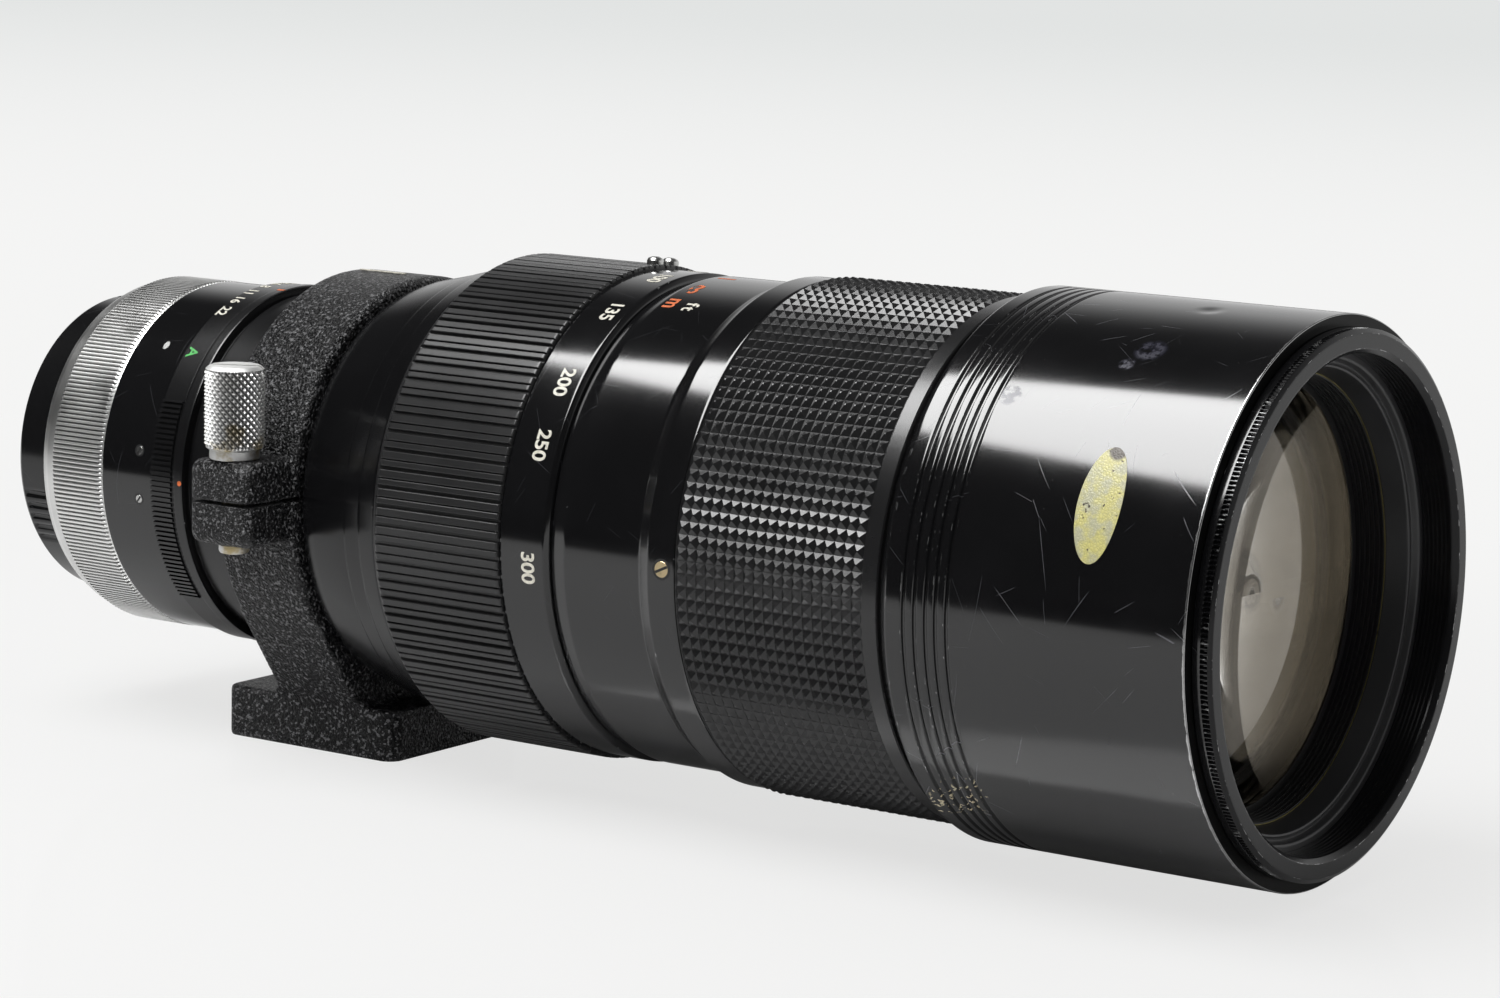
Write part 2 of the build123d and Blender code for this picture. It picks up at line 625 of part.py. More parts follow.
# Main barrel: index band, barrel, collar seat, and a shoulder inside for the iris
main_rear_x = aperture_front_x + face_gap
retainer_x = collar_rear_x + 0.2
seat_rear_x = retainer_x + retainer_thickness + free
main_step_x = rear_spigot_end_x + 0.2
main_barrel = turned(
    (main_rear_x, rear_spigot_r + seat), (main_step_x, rear_spigot_r + seat), (main_step_x, main_bore_r),
    (iris_shoulder_x, main_bore_r), (iris_shoulder_x, iris_shoulder_r),
    (iris_rear_x, iris_shoulder_r), (iris_rear_x, main_bore_r),
    (main_front_x, main_bore_r), (main_front_x, main_spigot_r), (flare_rear_x, main_spigot_r),
    (flare_rear_x, collar_seat_r), (seat_rear_x, collar_seat_r), (seat_rear_x, main_barrel_r),
    (index_band_end_x + undercut, main_barrel_r), (index_band_end_x + undercut, main_barrel_r - undercut),
    (index_band_end_x, main_barrel_r - undercut), (index_band_end_x, index_band_r),
    (main_rear_x + 0.2, index_band_r), (main_rear_x, index_band_r - 0.2))
save("main_barrel", main_barrel)
save("collar_retaining_ring", tube(
    retainer_x, retainer_x + retainer_thickness, retainer_r, main_barrel_r + seat))

# Tripod collar: ring, flared leg and foot in one casting, split at the clamp tabs
collar_bore_r = collar_seat_r + run
collar_ring = turned(
    (collar_rear_x, 0), (collar_front_x, 0), (collar_front_x, collar_r - collar_bevel),
    (collar_front_x - collar_bevel, collar_r), (collar_rear_x + collar_bevel, collar_r),
    (collar_rear_x, collar_r - collar_bevel))
foot_top_z = foot_bottom_z + foot_thickness
foot_length = foot_front_x - foot_rear_x
foot_x = (foot_front_x + foot_rear_x) / 2
foot = Pos(foot_x, 0, foot_bottom_z) * Box(
    foot_length, 2 * foot_half_width, foot_thickness, align=(Align.CENTER, Align.CENTER, Align.MIN))
foot = fillet(foot.edges().filter_by(Axis.Z), foot_corner_r)
foot = fillet(foot.faces().sort_by(Axis.Z)[-1].edges(), foot_edge_r)
leg_x = (collar_rear_x + collar_front_x) / 2
leg_length = collar_front_x - collar_rear_x

# Leg: its sides are planes tangent to the ring that reach the foot at its full width, and its
# front and rear run out on the foot in hollow fillets
corner_r = hypot(foot_half_width, foot_top_z)
tangent_angle = atan2(foot_half_width, -foot_top_z) + acos(collar_r / corner_r)
tangent_y = collar_r * sin(tangent_angle)
tangent_z = -collar_r * cos(tangent_angle)
leg_foot_z = foot_top_z - leg_fillet
leg_front_view = Plane.YZ * Polygon(
    (0, 0), (-tangent_y, tangent_z), (-foot_half_width, foot_top_z), (-foot_half_width, leg_foot_z),
    (foot_half_width, leg_foot_z), (foot_half_width, foot_top_z), (tangent_y, tangent_z), align=None)
leg_side_view = Plane.XZ * Pos(leg_x, foot_top_z) * Rectangle(
    leg_length + 2 * leg_fillet, -2 * foot_top_z, align=(Align.CENTER, Align.CENTER))
for side in (-1, 1):
    hollow_x = leg_x + side * (leg_length / 2 + leg_fillet)
    leg_side_view -= Plane.XZ * Pos(hollow_x, foot_top_z + leg_fillet) * Circle(leg_fillet)
    leg_side_view -= Plane.XZ * Pos(hollow_x, foot_top_z + leg_fillet) * Rectangle(
        2 * leg_fillet, -2 * foot_top_z, align=(Align.CENTER, Align.MIN))
leg = extrude(leg_front_view, amount=foot_front_x + leg_length) & extrude(
    leg_side_view, amount=collar_r, both=True)
tab = Pos((tab_rear_x + tab_front_x) / 2, tab_y, (tab_top_z + tab_bottom_z) / 2) * Box(
    tab_front_x - tab_rear_x, -tab_y - collar_r + 8, tab_top_z - tab_bottom_z,
    align=(Align.CENTER, Align.MIN, Align.CENTER))
tab = fillet(tab.edges().filter_by(Axis.X).group_by(Axis.Y)[0], tab_round)
tab = fillet(tab.edges().filter_by(Axis.Z).group_by(Axis.Y)[0], tab_round)
collar = collar_ring + foot + leg + tab
collar -= tube(foot_rear_x, foot_front_x, collar_bore_r, 0)
collar -= tube(collar_rear_x - overrun, seat_rear_x, retainer_r + free, 0)
flare_room = [(x, r + foot_relief_gap) for x, r in flare_profile]
collar -= turned((collar_front_x + face_gap, 0), *flare_room, (flare_end_x, 0))
collar -= Pos(leg_x, tab_y - overrun, split_z) * Box(
    leg_length + 2 * overrun, -tab_y - collar_bore_r + 3 * overrun, split_width,
    align=(Align.CENTER, Align.MIN, Align.CENTER))
tab_height = tab_top_z - tab_bottom_z
collar -= Pos(screw_x, screw_y, split_z) * Cylinder(
    screw_shank_r + 2 * free, tab_height, align=(Align.CENTER, Align.CENTER, Align.MIN))
collar -= Pos(screw_x, screw_y, split_z) * Cylinder(
    screw_shank_r + seat, tab_height, align=(Align.CENTER, Align.CENTER, Align.MAX))
collar -= Pos(socket_x, 0, foot_bottom_z) * Cylinder(
    bush_r + seat, 2 * (bush_length + 2 * bush_sunk), align=(Align.CENTER, Align.CENTER, Align.CENTER))
save("tripod_collar", collar)
bush = Pos(socket_x, 0, foot_bottom_z + bush_sunk) * Cylinder(
    bush_r, bush_length, align=(Align.CENTER, Align.CENTER, Align.MIN))
bush -= Pos(socket_x, 0, foot_bottom_z) * Cylinder(
    socket_r, 2 * socket_depth, align=(Align.CENTER, Align.CENTER, Align.CENTER))
save("tripod_bush", bush)

# Clamp screw with its coin slot
screw_base_z = tab_top_z + face_gap
screw = Pos(screw_x, screw_y, screw_tip_z) * Cylinder(
    screw_shank_r, screw_base_z + overrun - screw_tip_z, align=(Align.CENTER, Align.CENTER, Align.MIN))
screw += Pos(screw_x, screw_y, screw_base_z) * Cylinder(
    screw_neck_r, screw_neck_top_z - screw_base_z, align=(Align.CENTER, Align.CENTER, Align.MIN))
screw_head = Pos(screw_x, screw_y, screw_neck_top_z) * Cylinder(
    screw_head_r, screw_head_top_z - screw_neck_top_z, align=(Align.CENTER, Align.CENTER, Align.MIN))
screw_head = chamfer(screw_head.edges().filter_by(GeomType.CIRCLE), screw_head_bevel)
flute_circle = PolarLocations(screw_head_r + screw_flute_r / 2, screw_flutes)
screw_head -= [
    Pos(screw_x, screw_y, screw_neck_top_z - overrun) * place * Cylinder(
        screw_flute_r, screw_head_top_z, align=(Align.CENTER, Align.CENTER, Align.MIN))
    for place in flute_circle]
screw += screw_head
screw -= Pos(screw_x, screw_y, screw_head_top_z) * Box(
    4 * screw_head_r, screw_slot_width, 2 * screw_slot_depth)
save("clamp_screw", screw)

# Flared barrel, with lands inside for the main barrel, the relay cell and the guide tube
save("flare_barrel", turned(
    *flare_profile, (flare_end_x, guide_r + seat), (guide_rear_x, guide_r + seat),
    (guide_rear_x, flare_land_r), (main_front_x, flare_land_r), (main_front_x, main_spigot_r + seat),
    (flare_rear_x, main_spigot_r + seat)))

# Relay cell and its three elements
relay_rear_x = iris_plate_x + iris_plate_thickness + free
relay_end_x = relay_front_shape[-1][0] + 0.1
relay_flange_end_x = guide_rear_x - free
relay_nose_r = main_bore_r - 1.0
relay_lip_x = rear_stop(relay_rear_shape[0], relay_glass_r, lip)
relay_bore_r = relay_glass_r + cell_gap
save("relay_cell", turned(
    (relay_rear_x, relay_bore_r - lip), (relay_lip_x, relay_bore_r - lip), (relay_lip_x, relay_bore_r),
    (relay_end_x, relay_bore_r), (relay_end_x, relay_nose_r), (relay_flange_end_x, relay_nose_r),
    (relay_flange_end_x, flare_land_r - seat), (main_front_x + face_gap, flare_land_r - seat),
    (main_front_x + face_gap, main_bore_r - seat), (relay_rear_x, main_bore_r - seat)))
save("relay_lens_rear", *singlet(relay_rear_shape, relay_glass_r))
save("relay_lens_middle", *singlet(relay_middle_shape, relay_glass_r))
save("relay_lens_front", *singlet(relay_front_shape, relay_glass_r))

# Guide tube with straight slots, cam tube with sloping ones
slot_half = follower_r + follower_gap
per_degree_variator = variator_travel / (zoom_wide - zoom_long)
per_degree_compensator = compensator_travel / (zoom_wide - zoom_long)


def straight_slot(x_rest, per_degree, angle):
    """Slot along the axis as long as a follower's travel."""
    ends = (x_rest + per_degree * zoom_long, x_rest + per_degree * zoom_wide)
    middle = sum(ends) / 2
    length = abs(ends[1] - ends[0]) + 2 * slot_half + 2 * follower_gap
    opening = extrude(SlotOverall(length, 2 * slot_half), amount=guide_r - guide_bore_r + 2 * overrun)
    return Rot(angle, 0, 0) * Pos(middle, 0, guide_bore_r - overrun) * opening


def cam_slot(x_rest, per_degree, angle):
    """Sloping slot in the cam tube, cut along a helix."""
    mid_r = (guide_r + cam_tube_r) / 2
    margin = degrees(slot_half / mid_r)
    turn = zoom_wide - zoom_long + 2 * margin
    rise = abs(per_degree) * turn
    start = zoom_wide + margin if per_degree < 0 else zoom_long - margin
    path = Helix(rise * 360 / turn, rise, mid_r, direction=(1, 0, 0), lefthand=per_degree > 0)
    across = Rectangle(2 * slot_half, cam_tube_r - guide_r + 2 * overrun)
    profile = Plane(path @ 0, x_dir=(1, 0, 0), z_dir=path % 0) * across
    cutter = sweep(profile, path=path, is_frenet=True)
    first = path @ 0
    turned_by = angle - start + degrees(atan2(first.Y, first.Z))
    return [Pos(x_rest + per_degree * start, 0, 0) * (Rot(turned_by, 0, 0) * cutter)]


guide_tube = tube(guide_rear_x + face_gap, guide_front_x, guide_r, guide_bore_r)
cam_tube = tube(cam_rear_x, cam_front_x, cam_tube_r, guide_r + run)
follower_sets = (
    (variator_x, per_degree_variator, variator_angles),
    (compensator_x, per_degree_compensator, compensator_angles))
for x_rest, per_degree, angles in follower_sets:
    for angle in angles:
        guide_tube -= straight_slot(x_rest, per_degree, angle)
        cam_tube -= cam_slot(x_rest, per_degree, angle)
save("guide_tube", guide_tube)
save("cam_tube", cam_tube)

# Lens carriages that slide in the guide tube, and their follower pins
carriage_r = guide_bore_r - carriage_clearance
carriage_bore_r = carriage_r - carriage_wall
pin_root_r = carriage_r - pin_depth


def followers(x, angles):
    """Follower pins of one carriage, through both tubes' slots."""
    return [radial(x, angle, pin_root_r, cam_tube_r - free, follower_r) for angle in angles]


variator_rear_x = variator_x - follower_r - 1.1
variator_cell_x = variator_glass_x - 2.6
variator_end_x = variator_singlet_shape[-1][0] + 2.0
variator_bore_r = variator_glass_r + cell_gap
variator_lip_x = rear_stop(variator_doublet_shape[0], variator_glass_r, lip)
variator = turned(
    (variator_rear_x, carriage_bore_r), (variator_cell_x, carriage_bore_r),
    (variator_cell_x, variator_bore_r - lip), (variator_lip_x, variator_bore_r - lip),
    (variator_lip_x, variator_bore_r), (variator_end_x, variator_bore_r), (variator_end_x, carriage_r),
    (variator_rear_x, carriage_r))
for angle in variator_angles:
    variator -= radial(variator_x, angle, pin_root_r, carriage_r + overrun, follower_r + seat)
save("variator_carriage", variator)
save("variator_pins", *followers(variator_x, variator_angles))
save("variator_doublet", *doublet(variator_doublet_shape, variator_glass_r))
save("variator_singlet", *singlet(variator_singlet_shape, variator_glass_r))

compensator_rear_x = compensator_glass_x - 1.4
compensator_end_x = compensator_x + follower_r + 0.8
compensator_bore_r = compensator_glass_r + cell_gap
compensator_lip_x = front_stop(compensator_doublet_shape[-1], compensator_glass_r, lip)
compensator_lip_end_x = compensator_lip_x + 2.0
compensator = turned(
    (compensator_rear_x, compensator_bore_r), (compensator_lip_x, compensator_bore_r),
    (compensator_lip_x, compensator_bore_r - lip), (compensator_lip_end_x, compensator_bore_r - lip),
    (compensator_lip_end_x, carriage_bore_r), (compensator_end_x, carriage_bore_r),
    (compensator_end_x, carriage_r), (compensator_rear_x, carriage_r))
for angle in compensator_angles:
    compensator -= radial(compensator_x, angle, pin_root_r, carriage_r + overrun, follower_r + seat)
save("compensator_carriage", compensator)
save("compensator_pins", *followers(compensator_x, compensator_angles))
save("compensator_doublet", *doublet(compensator_doublet_shape, compensator_glass_r))

# Zoom ring: ribbed grip, number ring, and the studs that drive the cam tube
rib_pitch = 360 / zoom_rib_pairs
zoom_grip = turned(
    (zoom_rear_x, zoom_bore_r), (zoom_rib_front_x, zoom_bore_r),
    (zoom_rib_front_x, zoom_rib_r - edge_bevel), (zoom_rib_front_x - edge_bevel, zoom_rib_r),
    (zoom_rib_rear_x, zoom_rib_r), (zoom_rear_x, zoom_root_r - free))
groove_floors = ((zoom_wide_groove, zoom_root_r), (zoom_narrow_groove, zoom_rib_r - zoom_narrow_depth))
zoom_grip -= [
    sector(zoom_rib_rear_x - 0.5, zoom_groove_front_x, floor_r, zoom_rib_r + overrun,
           (pair + share[0]) * rib_pitch, (pair + share[1]) * rib_pitch)
    for pair in range(zoom_rib_pairs)
    for share, floor_r in groove_floors]
for angle in stud_angles:
    zoom_grip -= radial(stud_x, angle, zoom_bore_r - overrun, zoom_rib_r + overrun, stud_r + seat)
    zoom_grip -= radial(stud_x, angle, stud_seat_r, zoom_rib_r + overrun, stud_head_r + seat)
save("zoom_grip_ring", zoom_grip)
zoom_band_rear_x = zoom_rib_front_x + face_gap
save("zoom_scale_ring", turned(
    (zoom_band_rear_x, zoom_bore_r), (zoom_lip_x, zoom_bore_r), (zoom_lip_x, zoom_lip_r),
    (zoom_front_x + edge_bevel, zoom_lip_r), (zoom_front_x + edge_bevel, zoom_band_r - 2 * edge_bevel),
    (zoom_front_x - edge_bevel, zoom_band_r), (zoom_band_rear_x, zoom_band_r)))
stud = radial(stud_x, 0, stud_seat_r + face_gap, stud_top_r, stud_head_r)
stud = fillet(stud.faces().sort_by(Axis.Z)[-1].edges(), stud_head_r / 2)
stud += radial(stud_x, 0, zoom_bore_r + face_gap, stud_seat_r + face_gap, stud_r)
save("zoom_studs", *[Rot(angle, 0, 0) * stud for angle in stud_angles])

# Fixed tube under the focus ring, with its flange and the slot for the sleeve's key
fixed_flange_end_x = fixed_flange_x + fixed_flange_thickness
key_slot_middle = (key_slot_rear_x + key_slot_front_x) / 2
fixed_tube = turned(
    (fixed_tube_rear_x, guide_r + seat), (fixed_tube_front_x, guide_r + seat),
    (fixed_tube_front_x, fixed_tube_r), (fixed_flange_end_x, fixed_tube_r),
    (fixed_flange_end_x, fixed_flange_r), (fixed_flange_x, fixed_flange_r),
    (fixed_flange_x, fixed_tube_r), (fixed_tube_rear_x, fixed_tube_r))
fixed_tube -= Pos(key_slot_middle, 0, 0) * Box(
    key_slot_front_x - key_slot_rear_x, sleeve_key_width + 2 * sleeve_key_gap, fixed_flange_r,
    align=(Align.CENTER, Align.CENTER, Align.MIN))
save("focus_guide_tube", fixed_tube)

# Distance scale ring, focus ring and the screws that join them
scale_bore_r = fixed_tube_r + run
save("distance_scale_ring", turned(
    (scale_rear_x, scale_bore_r), (fixed_flange_x - free, scale_bore_r),
    (fixed_flange_x - free, fixed_flange_r + run), (focus_spigot_x - face_gap, fixed_flange_r + run),
    (focus_spigot_x - face_gap, focus_spigot_r + seat), (focus_rear_x, focus_spigot_r + seat),
    (focus_rear_x, scale_band_r), (scale_band_x, scale_band_r), (scale_bevel_x, scale_r),
    (scale_cone_x, scale_r), (scale_rear_x, scale_rear_r)) - [
        radial(focus_screw_x, angle, focus_spigot_r - overrun, scale_band_r + overrun, focus_screw_r + seat)
        for angle in focus_screw_angles])
focus_bore_r = sleeve_r + free
focus_web_x = focus_rear_x + 2.0
focus_end_x = focus_front_x + focus_lip_length
focus_outline = [
    (focus_spigot_x, fixed_tube_r + free), (focus_web_x, fixed_tube_r + free), (focus_web_x, focus_bore_r),
    (focus_end_x, focus_bore_r), (focus_end_x, focus_lip_r), (focus_front_x, focus_lip_r),
    (focus_front_x, focus_band_r - edge_bevel), (focus_front_x - edge_bevel, focus_band_r),
    (focus_knurl_x, focus_band_r), (focus_knurl_x, focus_r)]
first_row_x = (focus_rear_x + focus_knurl_x - (focus_grip_rows - 1) * focus_grip_pitch) / 2
for row in reversed(range(focus_grip_rows)):
    row_x = first_row_x + row * focus_grip_pitch
    focus_outline += [(row_x + focus_groove_half, focus_r), (row_x, focus_r - focus_groove_depth),
                      (row_x - focus_groove_half, focus_r)]
focus_outline += [
    (focus_rear_x + edge_bevel, focus_r), (focus_rear_x + face_gap, focus_r - edge_bevel),
    (focus_rear_x + face_gap, focus_spigot_r), (focus_spigot_x, focus_spigot_r)]
groove_profile = Plane.YZ * Polygon(
    (-focus_groove_half, focus_r), (0, focus_r - focus_groove_depth), (focus_groove_half, focus_r),
    (focus_groove_half, focus_r + overrun), (-focus_groove_half, focus_r + overrun), align=None)
long_groove = Pos(focus_rear_x, 0, 0) * extrude(groove_profile, amount=focus_knurl_x - focus_rear_x)
save("focus_ring", turned(*focus_outline) - [
    Rot(column * 360 / focus_grip_columns, 0, 0) * long_groove for column in range(focus_grip_columns)])
save("focus_ring_screws", *[
    radial(focus_screw_x, angle, focus_spigot_r + free, scale_band_r - free, focus_screw_r)
    - Rot(angle, 0, 0) * Pos(focus_screw_x, 0, scale_band_r) * Box(
        focus_screw_slot, 4 * focus_screw_r, 2 * focus_screw_slot)
    for angle in focus_screw_angles])

# Threaded sleeve that carries the front group, with its key
sleeve_bore_r = fixed_tube_r + run
sleeve_end_x = sleeve_flange_x + sleeve_flange_thickness
sleeve = turned(
    (sleeve_rear_x, sleeve_bore_r), (sleeve_end_x, sleeve_bore_r), (sleeve_end_x, front_bore_r - seat),
    (sleeve_flange_x, front_bore_r - seat), (sleeve_flange_x, sleeve_r), (sleeve_rear_x, sleeve_r))
sleeve_key_r = guide_r + 0.4
sleeve += Pos(key_slot_rear_x + 1.0, 0, sleeve_key_r) * Box(
    sleeve_key_length, sleeve_key_width, (sleeve_r + sleeve_bore_r) / 2 - sleeve_key_r,
    align=(Align.MIN, Align.CENTER, Align.MIN))
save("helicoid_sleeve", sleeve)

# Front barrel with its five turned grooves
front_outline = [
    (front_rear_x, front_throat_r), (front_throat_x, front_throat_r), (front_throat_x, front_bore_r),
    (front_x, front_bore_r), (front_x, front_barrel_r - front_bevel),
    (front_x - front_bevel, front_barrel_r)]
for middle in reversed(groove_x):
    front_outline += [
        (middle + groove_width / 2, front_barrel_r), (middle, front_barrel_r - groove_depth),
        (middle - groove_width / 2, front_barrel_r)]
front_outline += [(front_chamfer_x, front_barrel_r), (front_rear_x, front_rear_r)]
save("front_barrel", turned(*front_outline))

# Front lens cell with a ridged bore in front of the glass, and the front elements
cell_front_x = name_ring_rear_x - face_gap
front_cell_r = sleeve_bore_r - seat
ridge_rear_x = name_ring_rear_x - 5.3
front_glass_bore_r = front_glass_r + cell_gap
ridge_count = 4
ridge_pitch = (cell_front_x - ridge_rear_x) / ridge_count
front_cell_rear_x = sum(front_singlet_shape[0]) - 2.8
front_cell_outline = [(front_cell_rear_x, front_glass_bore_r), (ridge_rear_x, front_glass_bore_r)]
for ridge in range(ridge_count):
    ridge_x = ridge_rear_x + ridge * ridge_pitch
    front_cell_outline += [(ridge_x, baffle_r + 0.5), (ridge_x + ridge_pitch, baffle_r)]
front_cell_outline += [
    (cell_front_x, front_bore_r - seat), (sleeve_end_x + face_gap, front_bore_r - seat),
    (sleeve_end_x + face_gap, front_cell_r), (front_cell_rear_x, front_cell_r)]
save("front_lens_cell", turned(*front_cell_outline))
save("front_doublet", *doublet(front_doublet_shape, front_glass_r))
save("front_singlet", *singlet(front_singlet_shape, front_glass_r))

# Name ring, left bare, and the filter ring
name_ring_end_x = filter_rear_x - free
save("name_ring", turned(
    (name_ring_rear_x, name_ring_rear_r), (name_ring_front_x, name_ring_front_r),
    (name_ring_end_x, name_ring_front_r + free), (name_ring_end_x, front_bore_r - seat),
    (name_ring_rear_x, front_bore_r - seat)))
filter_step_x = front_x + face_gap
save("filter_ring", turned(
    (filter_rear_x, filter_bore_r), (filter_front_x - filter_bevel, filter_bore_r),
    (filter_front_x, filter_face_inner_r), (filter_front_x, filter_face_outer_r),
    (filter_front_x - filter_bevel, filter_ring_r - edge_bevel),
    (filter_front_x - filter_bevel, filter_ring_r), (filter_step_x, filter_ring_r),
    (filter_step_x, front_bore_r - run),
    (filter_rear_x, front_bore_r - run)))

# Iris housing: a rim round the driving ring and a plate with eight pivot holes
iris_plate_end_x = iris_plate_x + iris_plate_thickness
iris_plate_bore_r = iris_ring_bore_r - 0.2
housing = turned(
    (iris_rear_x + face_gap, iris_ring_r + run), (iris_plate_x, iris_ring_r + run),
    (iris_plate_x, iris_plate_bore_r), (iris_plate_end_x, iris_plate_bore_r),
    (iris_plate_end_x, main_bore_r - seat), (iris_rear_x + face_gap, main_bore_r - seat))
blade_angles = [iris_angle + blade * 360 / blade_count for blade in range(blade_count)]
housing -= [
    along(iris_plate_x - overrun, iris_plate_x + pin_reach + 3 * free, blade_pivot_r, angle, pin_r + run)
    for angle in blade_angles]
save("iris_housing", housing)


def cam_pin_place(turn):
    """Radius and angle of a blade's cam pin, from its own pivot's angle, at one turn of the blade."""
    out = blade_pivot_r + blade_tail * sin(radians(turn))
    back = blade_tail * cos(radians(turn))
    return hypot(out, back), -degrees(atan2(back, out))


def slot_point(turn):
    """The same point as the driving ring sees it, on the YZ plane."""
    r, angle = cam_pin_place(turn)
    seen = radians(angle - turn * stop_travel / blade_turn)
    return -r * sin(seen), r * cos(seen)


# Driving ring: eight sloping cam slots and a notch for the stop-down bar
iris_ring = tube(iris_ring_x, iris_ring_x + iris_ring_thickness, iris_ring_r, iris_ring_bore_r)
slot_arc = ThreePointArc(slot_point(0), slot_point(blade_turn / 2), slot_point(blade_turn))
slot_opening = Pos(iris_ring_x - overrun, 0, 0) * extrude(
    Plane.YZ * SlotArc(slot_arc, 2 * (pin_r + pin_gap)), amount=iris_ring_thickness + 2 * overrun)
iris_ring -= [Rot(angle, 0, 0) * slot_opening for angle in blade_angles]
bar_half_width = key_half_width + key_side_gap / 2
iris_ring -= sector(
    iris_ring_x - overrun, iris_ring_x + iris_ring_thickness + overrun, stop_bar_bore_r - seat,
    stop_bar_r + seat, stop_angle - bar_half_width, stop_angle + bar_half_width)
save("iris_driving_ring", iris_ring)

# Eight blades, each in its own layer, with a pivot pin to the front and a cam pin to the rear
tail_r, tail_angle = cam_pin_place(0)
blade_mid_r = (blade_bore_r + blade_rim_r) / 2
for blade, angle in enumerate(blade_angles):
    x0 = first_blade_x + blade * blade_pitch
    x1 = x0 + blade_thickness
    leaf = sector(x0, x1, blade_bore_r, blade_rim_r, blade_start, blade_end)
    leaf += along(x0, x1, blade_mid_r, blade_end, (blade_rim_r - blade_bore_r) / 2)
    leaf += along(x0, x1, blade_pivot_r, 0, blade_boss_r)
    leaf += along(x0, x1, tail_r, tail_angle, blade_tail_boss_r)
    leaf += Pos((x0 + x1) / 2, blade_tail / 2, blade_pivot_r) * Box(
        blade_thickness, blade_tail, blade_neck_width)
    leaf += along(x1 - pin_root, iris_plate_x + pin_reach, blade_pivot_r, 0, pin_r)
    leaf += along(iris_ring_x + free, x0 + pin_root, tail_r, tail_angle, pin_r)
    save(f"iris_blade_{blade + 1}", Rot(angle, 0, 0) * leaf)
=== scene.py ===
from math import cos, degrees, hypot, pi, radians, sin

import bmesh
import bpy
import numpy as np
from mathutils import Matrix, Vector


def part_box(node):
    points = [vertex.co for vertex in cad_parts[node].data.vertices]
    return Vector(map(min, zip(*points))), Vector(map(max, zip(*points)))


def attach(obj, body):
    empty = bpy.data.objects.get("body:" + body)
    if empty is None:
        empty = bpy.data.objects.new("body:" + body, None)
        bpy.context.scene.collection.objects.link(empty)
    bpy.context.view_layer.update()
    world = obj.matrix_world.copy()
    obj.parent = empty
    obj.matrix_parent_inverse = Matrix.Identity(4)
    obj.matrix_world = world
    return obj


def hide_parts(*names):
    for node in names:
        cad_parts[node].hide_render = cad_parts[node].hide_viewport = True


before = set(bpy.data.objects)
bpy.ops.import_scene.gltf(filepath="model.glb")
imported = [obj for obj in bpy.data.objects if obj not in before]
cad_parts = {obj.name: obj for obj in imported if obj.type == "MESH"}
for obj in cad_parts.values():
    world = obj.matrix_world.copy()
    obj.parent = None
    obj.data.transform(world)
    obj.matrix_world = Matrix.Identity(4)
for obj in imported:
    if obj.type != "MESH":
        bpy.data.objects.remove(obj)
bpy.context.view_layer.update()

# Places and sizes of the pieces are written in millimetres and in degrees round the lens axis,
# counted from the top towards the camera's side, and turned into metres when the meshes are made.
# The studio and the textures are written in metres.
MM = 0.001

# Outer radii that carry markings, screws or a pattern
cap_r = 27.5
breech_r = 32.0
rear_barrel_r = 31.9
aperture_r = 32.7
index_band_r = 32.9
collar_r = 36.8
zoom_r = 42.7
number_band_r = 42.0
distance_r = 41.8
focus_screw_r = 43.2
pyramid_r = 43.7
front_r = 45.5
filter_r = 43.4

# Clamp of the tripod collar
screw_x, screw_y = 53.5, -42.9
slit_z, slit_width = 1.0, 0.75

# Exposure of an edge that is turned bright all the way round
turned_bright = 3.0


def place(x, r, angle):
    """Point at x along the axis, r from it, at an angle round it."""
    return Vector((x * MM, -r * sin(radians(angle)) * MM, r * cos(radians(angle)) * MM))


# ---------------------------------------------------------------- materials

def new_material(name):
    """New material and its node tree, which is empty."""
    material = bpy.data.materials.new(name)
    material.use_nodes = True
    material.node_tree.nodes.clear()
    return material, material.node_tree


def add(tree, kind, inputs=None, **settings):
    """Node of a kind, with its settings and with values or links on its inputs."""
    node = tree.nodes.new("ShaderNode" + kind)
    for key, value in settings.items():
        setattr(node, key, value)
    for key, value in (inputs or {}).items():
        if isinstance(value, bpy.types.NodeSocket):
            tree.links.new(value, node.inputs[key])
        else:
            node.inputs[key].default_value = value
    return node


def surface(tree, inputs):
    """Principled shader with these inputs, as a material's surface."""
    add(tree, "OutputMaterial", {0: add(tree, "BsdfPrincipled", inputs).outputs[0]})


def math_node(tree, operation, a, b=0.0, clamp=False):
    node = add(tree, "Math", {0: a, 1: b}, operation=operation)
    node.use_clamp = clamp
    return node.outputs[0]


def times(tree, a, b, clamp=False):
    return math_node(tree, "MULTIPLY", a, b, clamp)


def plus(tree, a, b):
    return math_node(tree, "ADD", a, b)


def larger(tree, a, b):
    return math_node(tree, "MAXIMUM", a, b)


def vector_node(tree, operation, a, b=(0, 0, 0), output=0):
    return add(tree, "VectorMath", {0: a, 1: b}, operation=operation).outputs[output]


def mesh_value(tree, name):
    """Value that a mesh carries at its points under a name."""
    return add(tree, "Attribute", attribute_name=name).outputs["Fac"]


def ramp(tree, value, low, high, start=0.0, end=1.0, smooth=True):
    """Value moved from low..high to start..end."""
    return add(tree, "MapRange", {0: value, 1: low, 2: high, 3: start, 4: end},
               interpolation_type="SMOOTHSTEP" if smooth else "LINEAR").outputs[0]


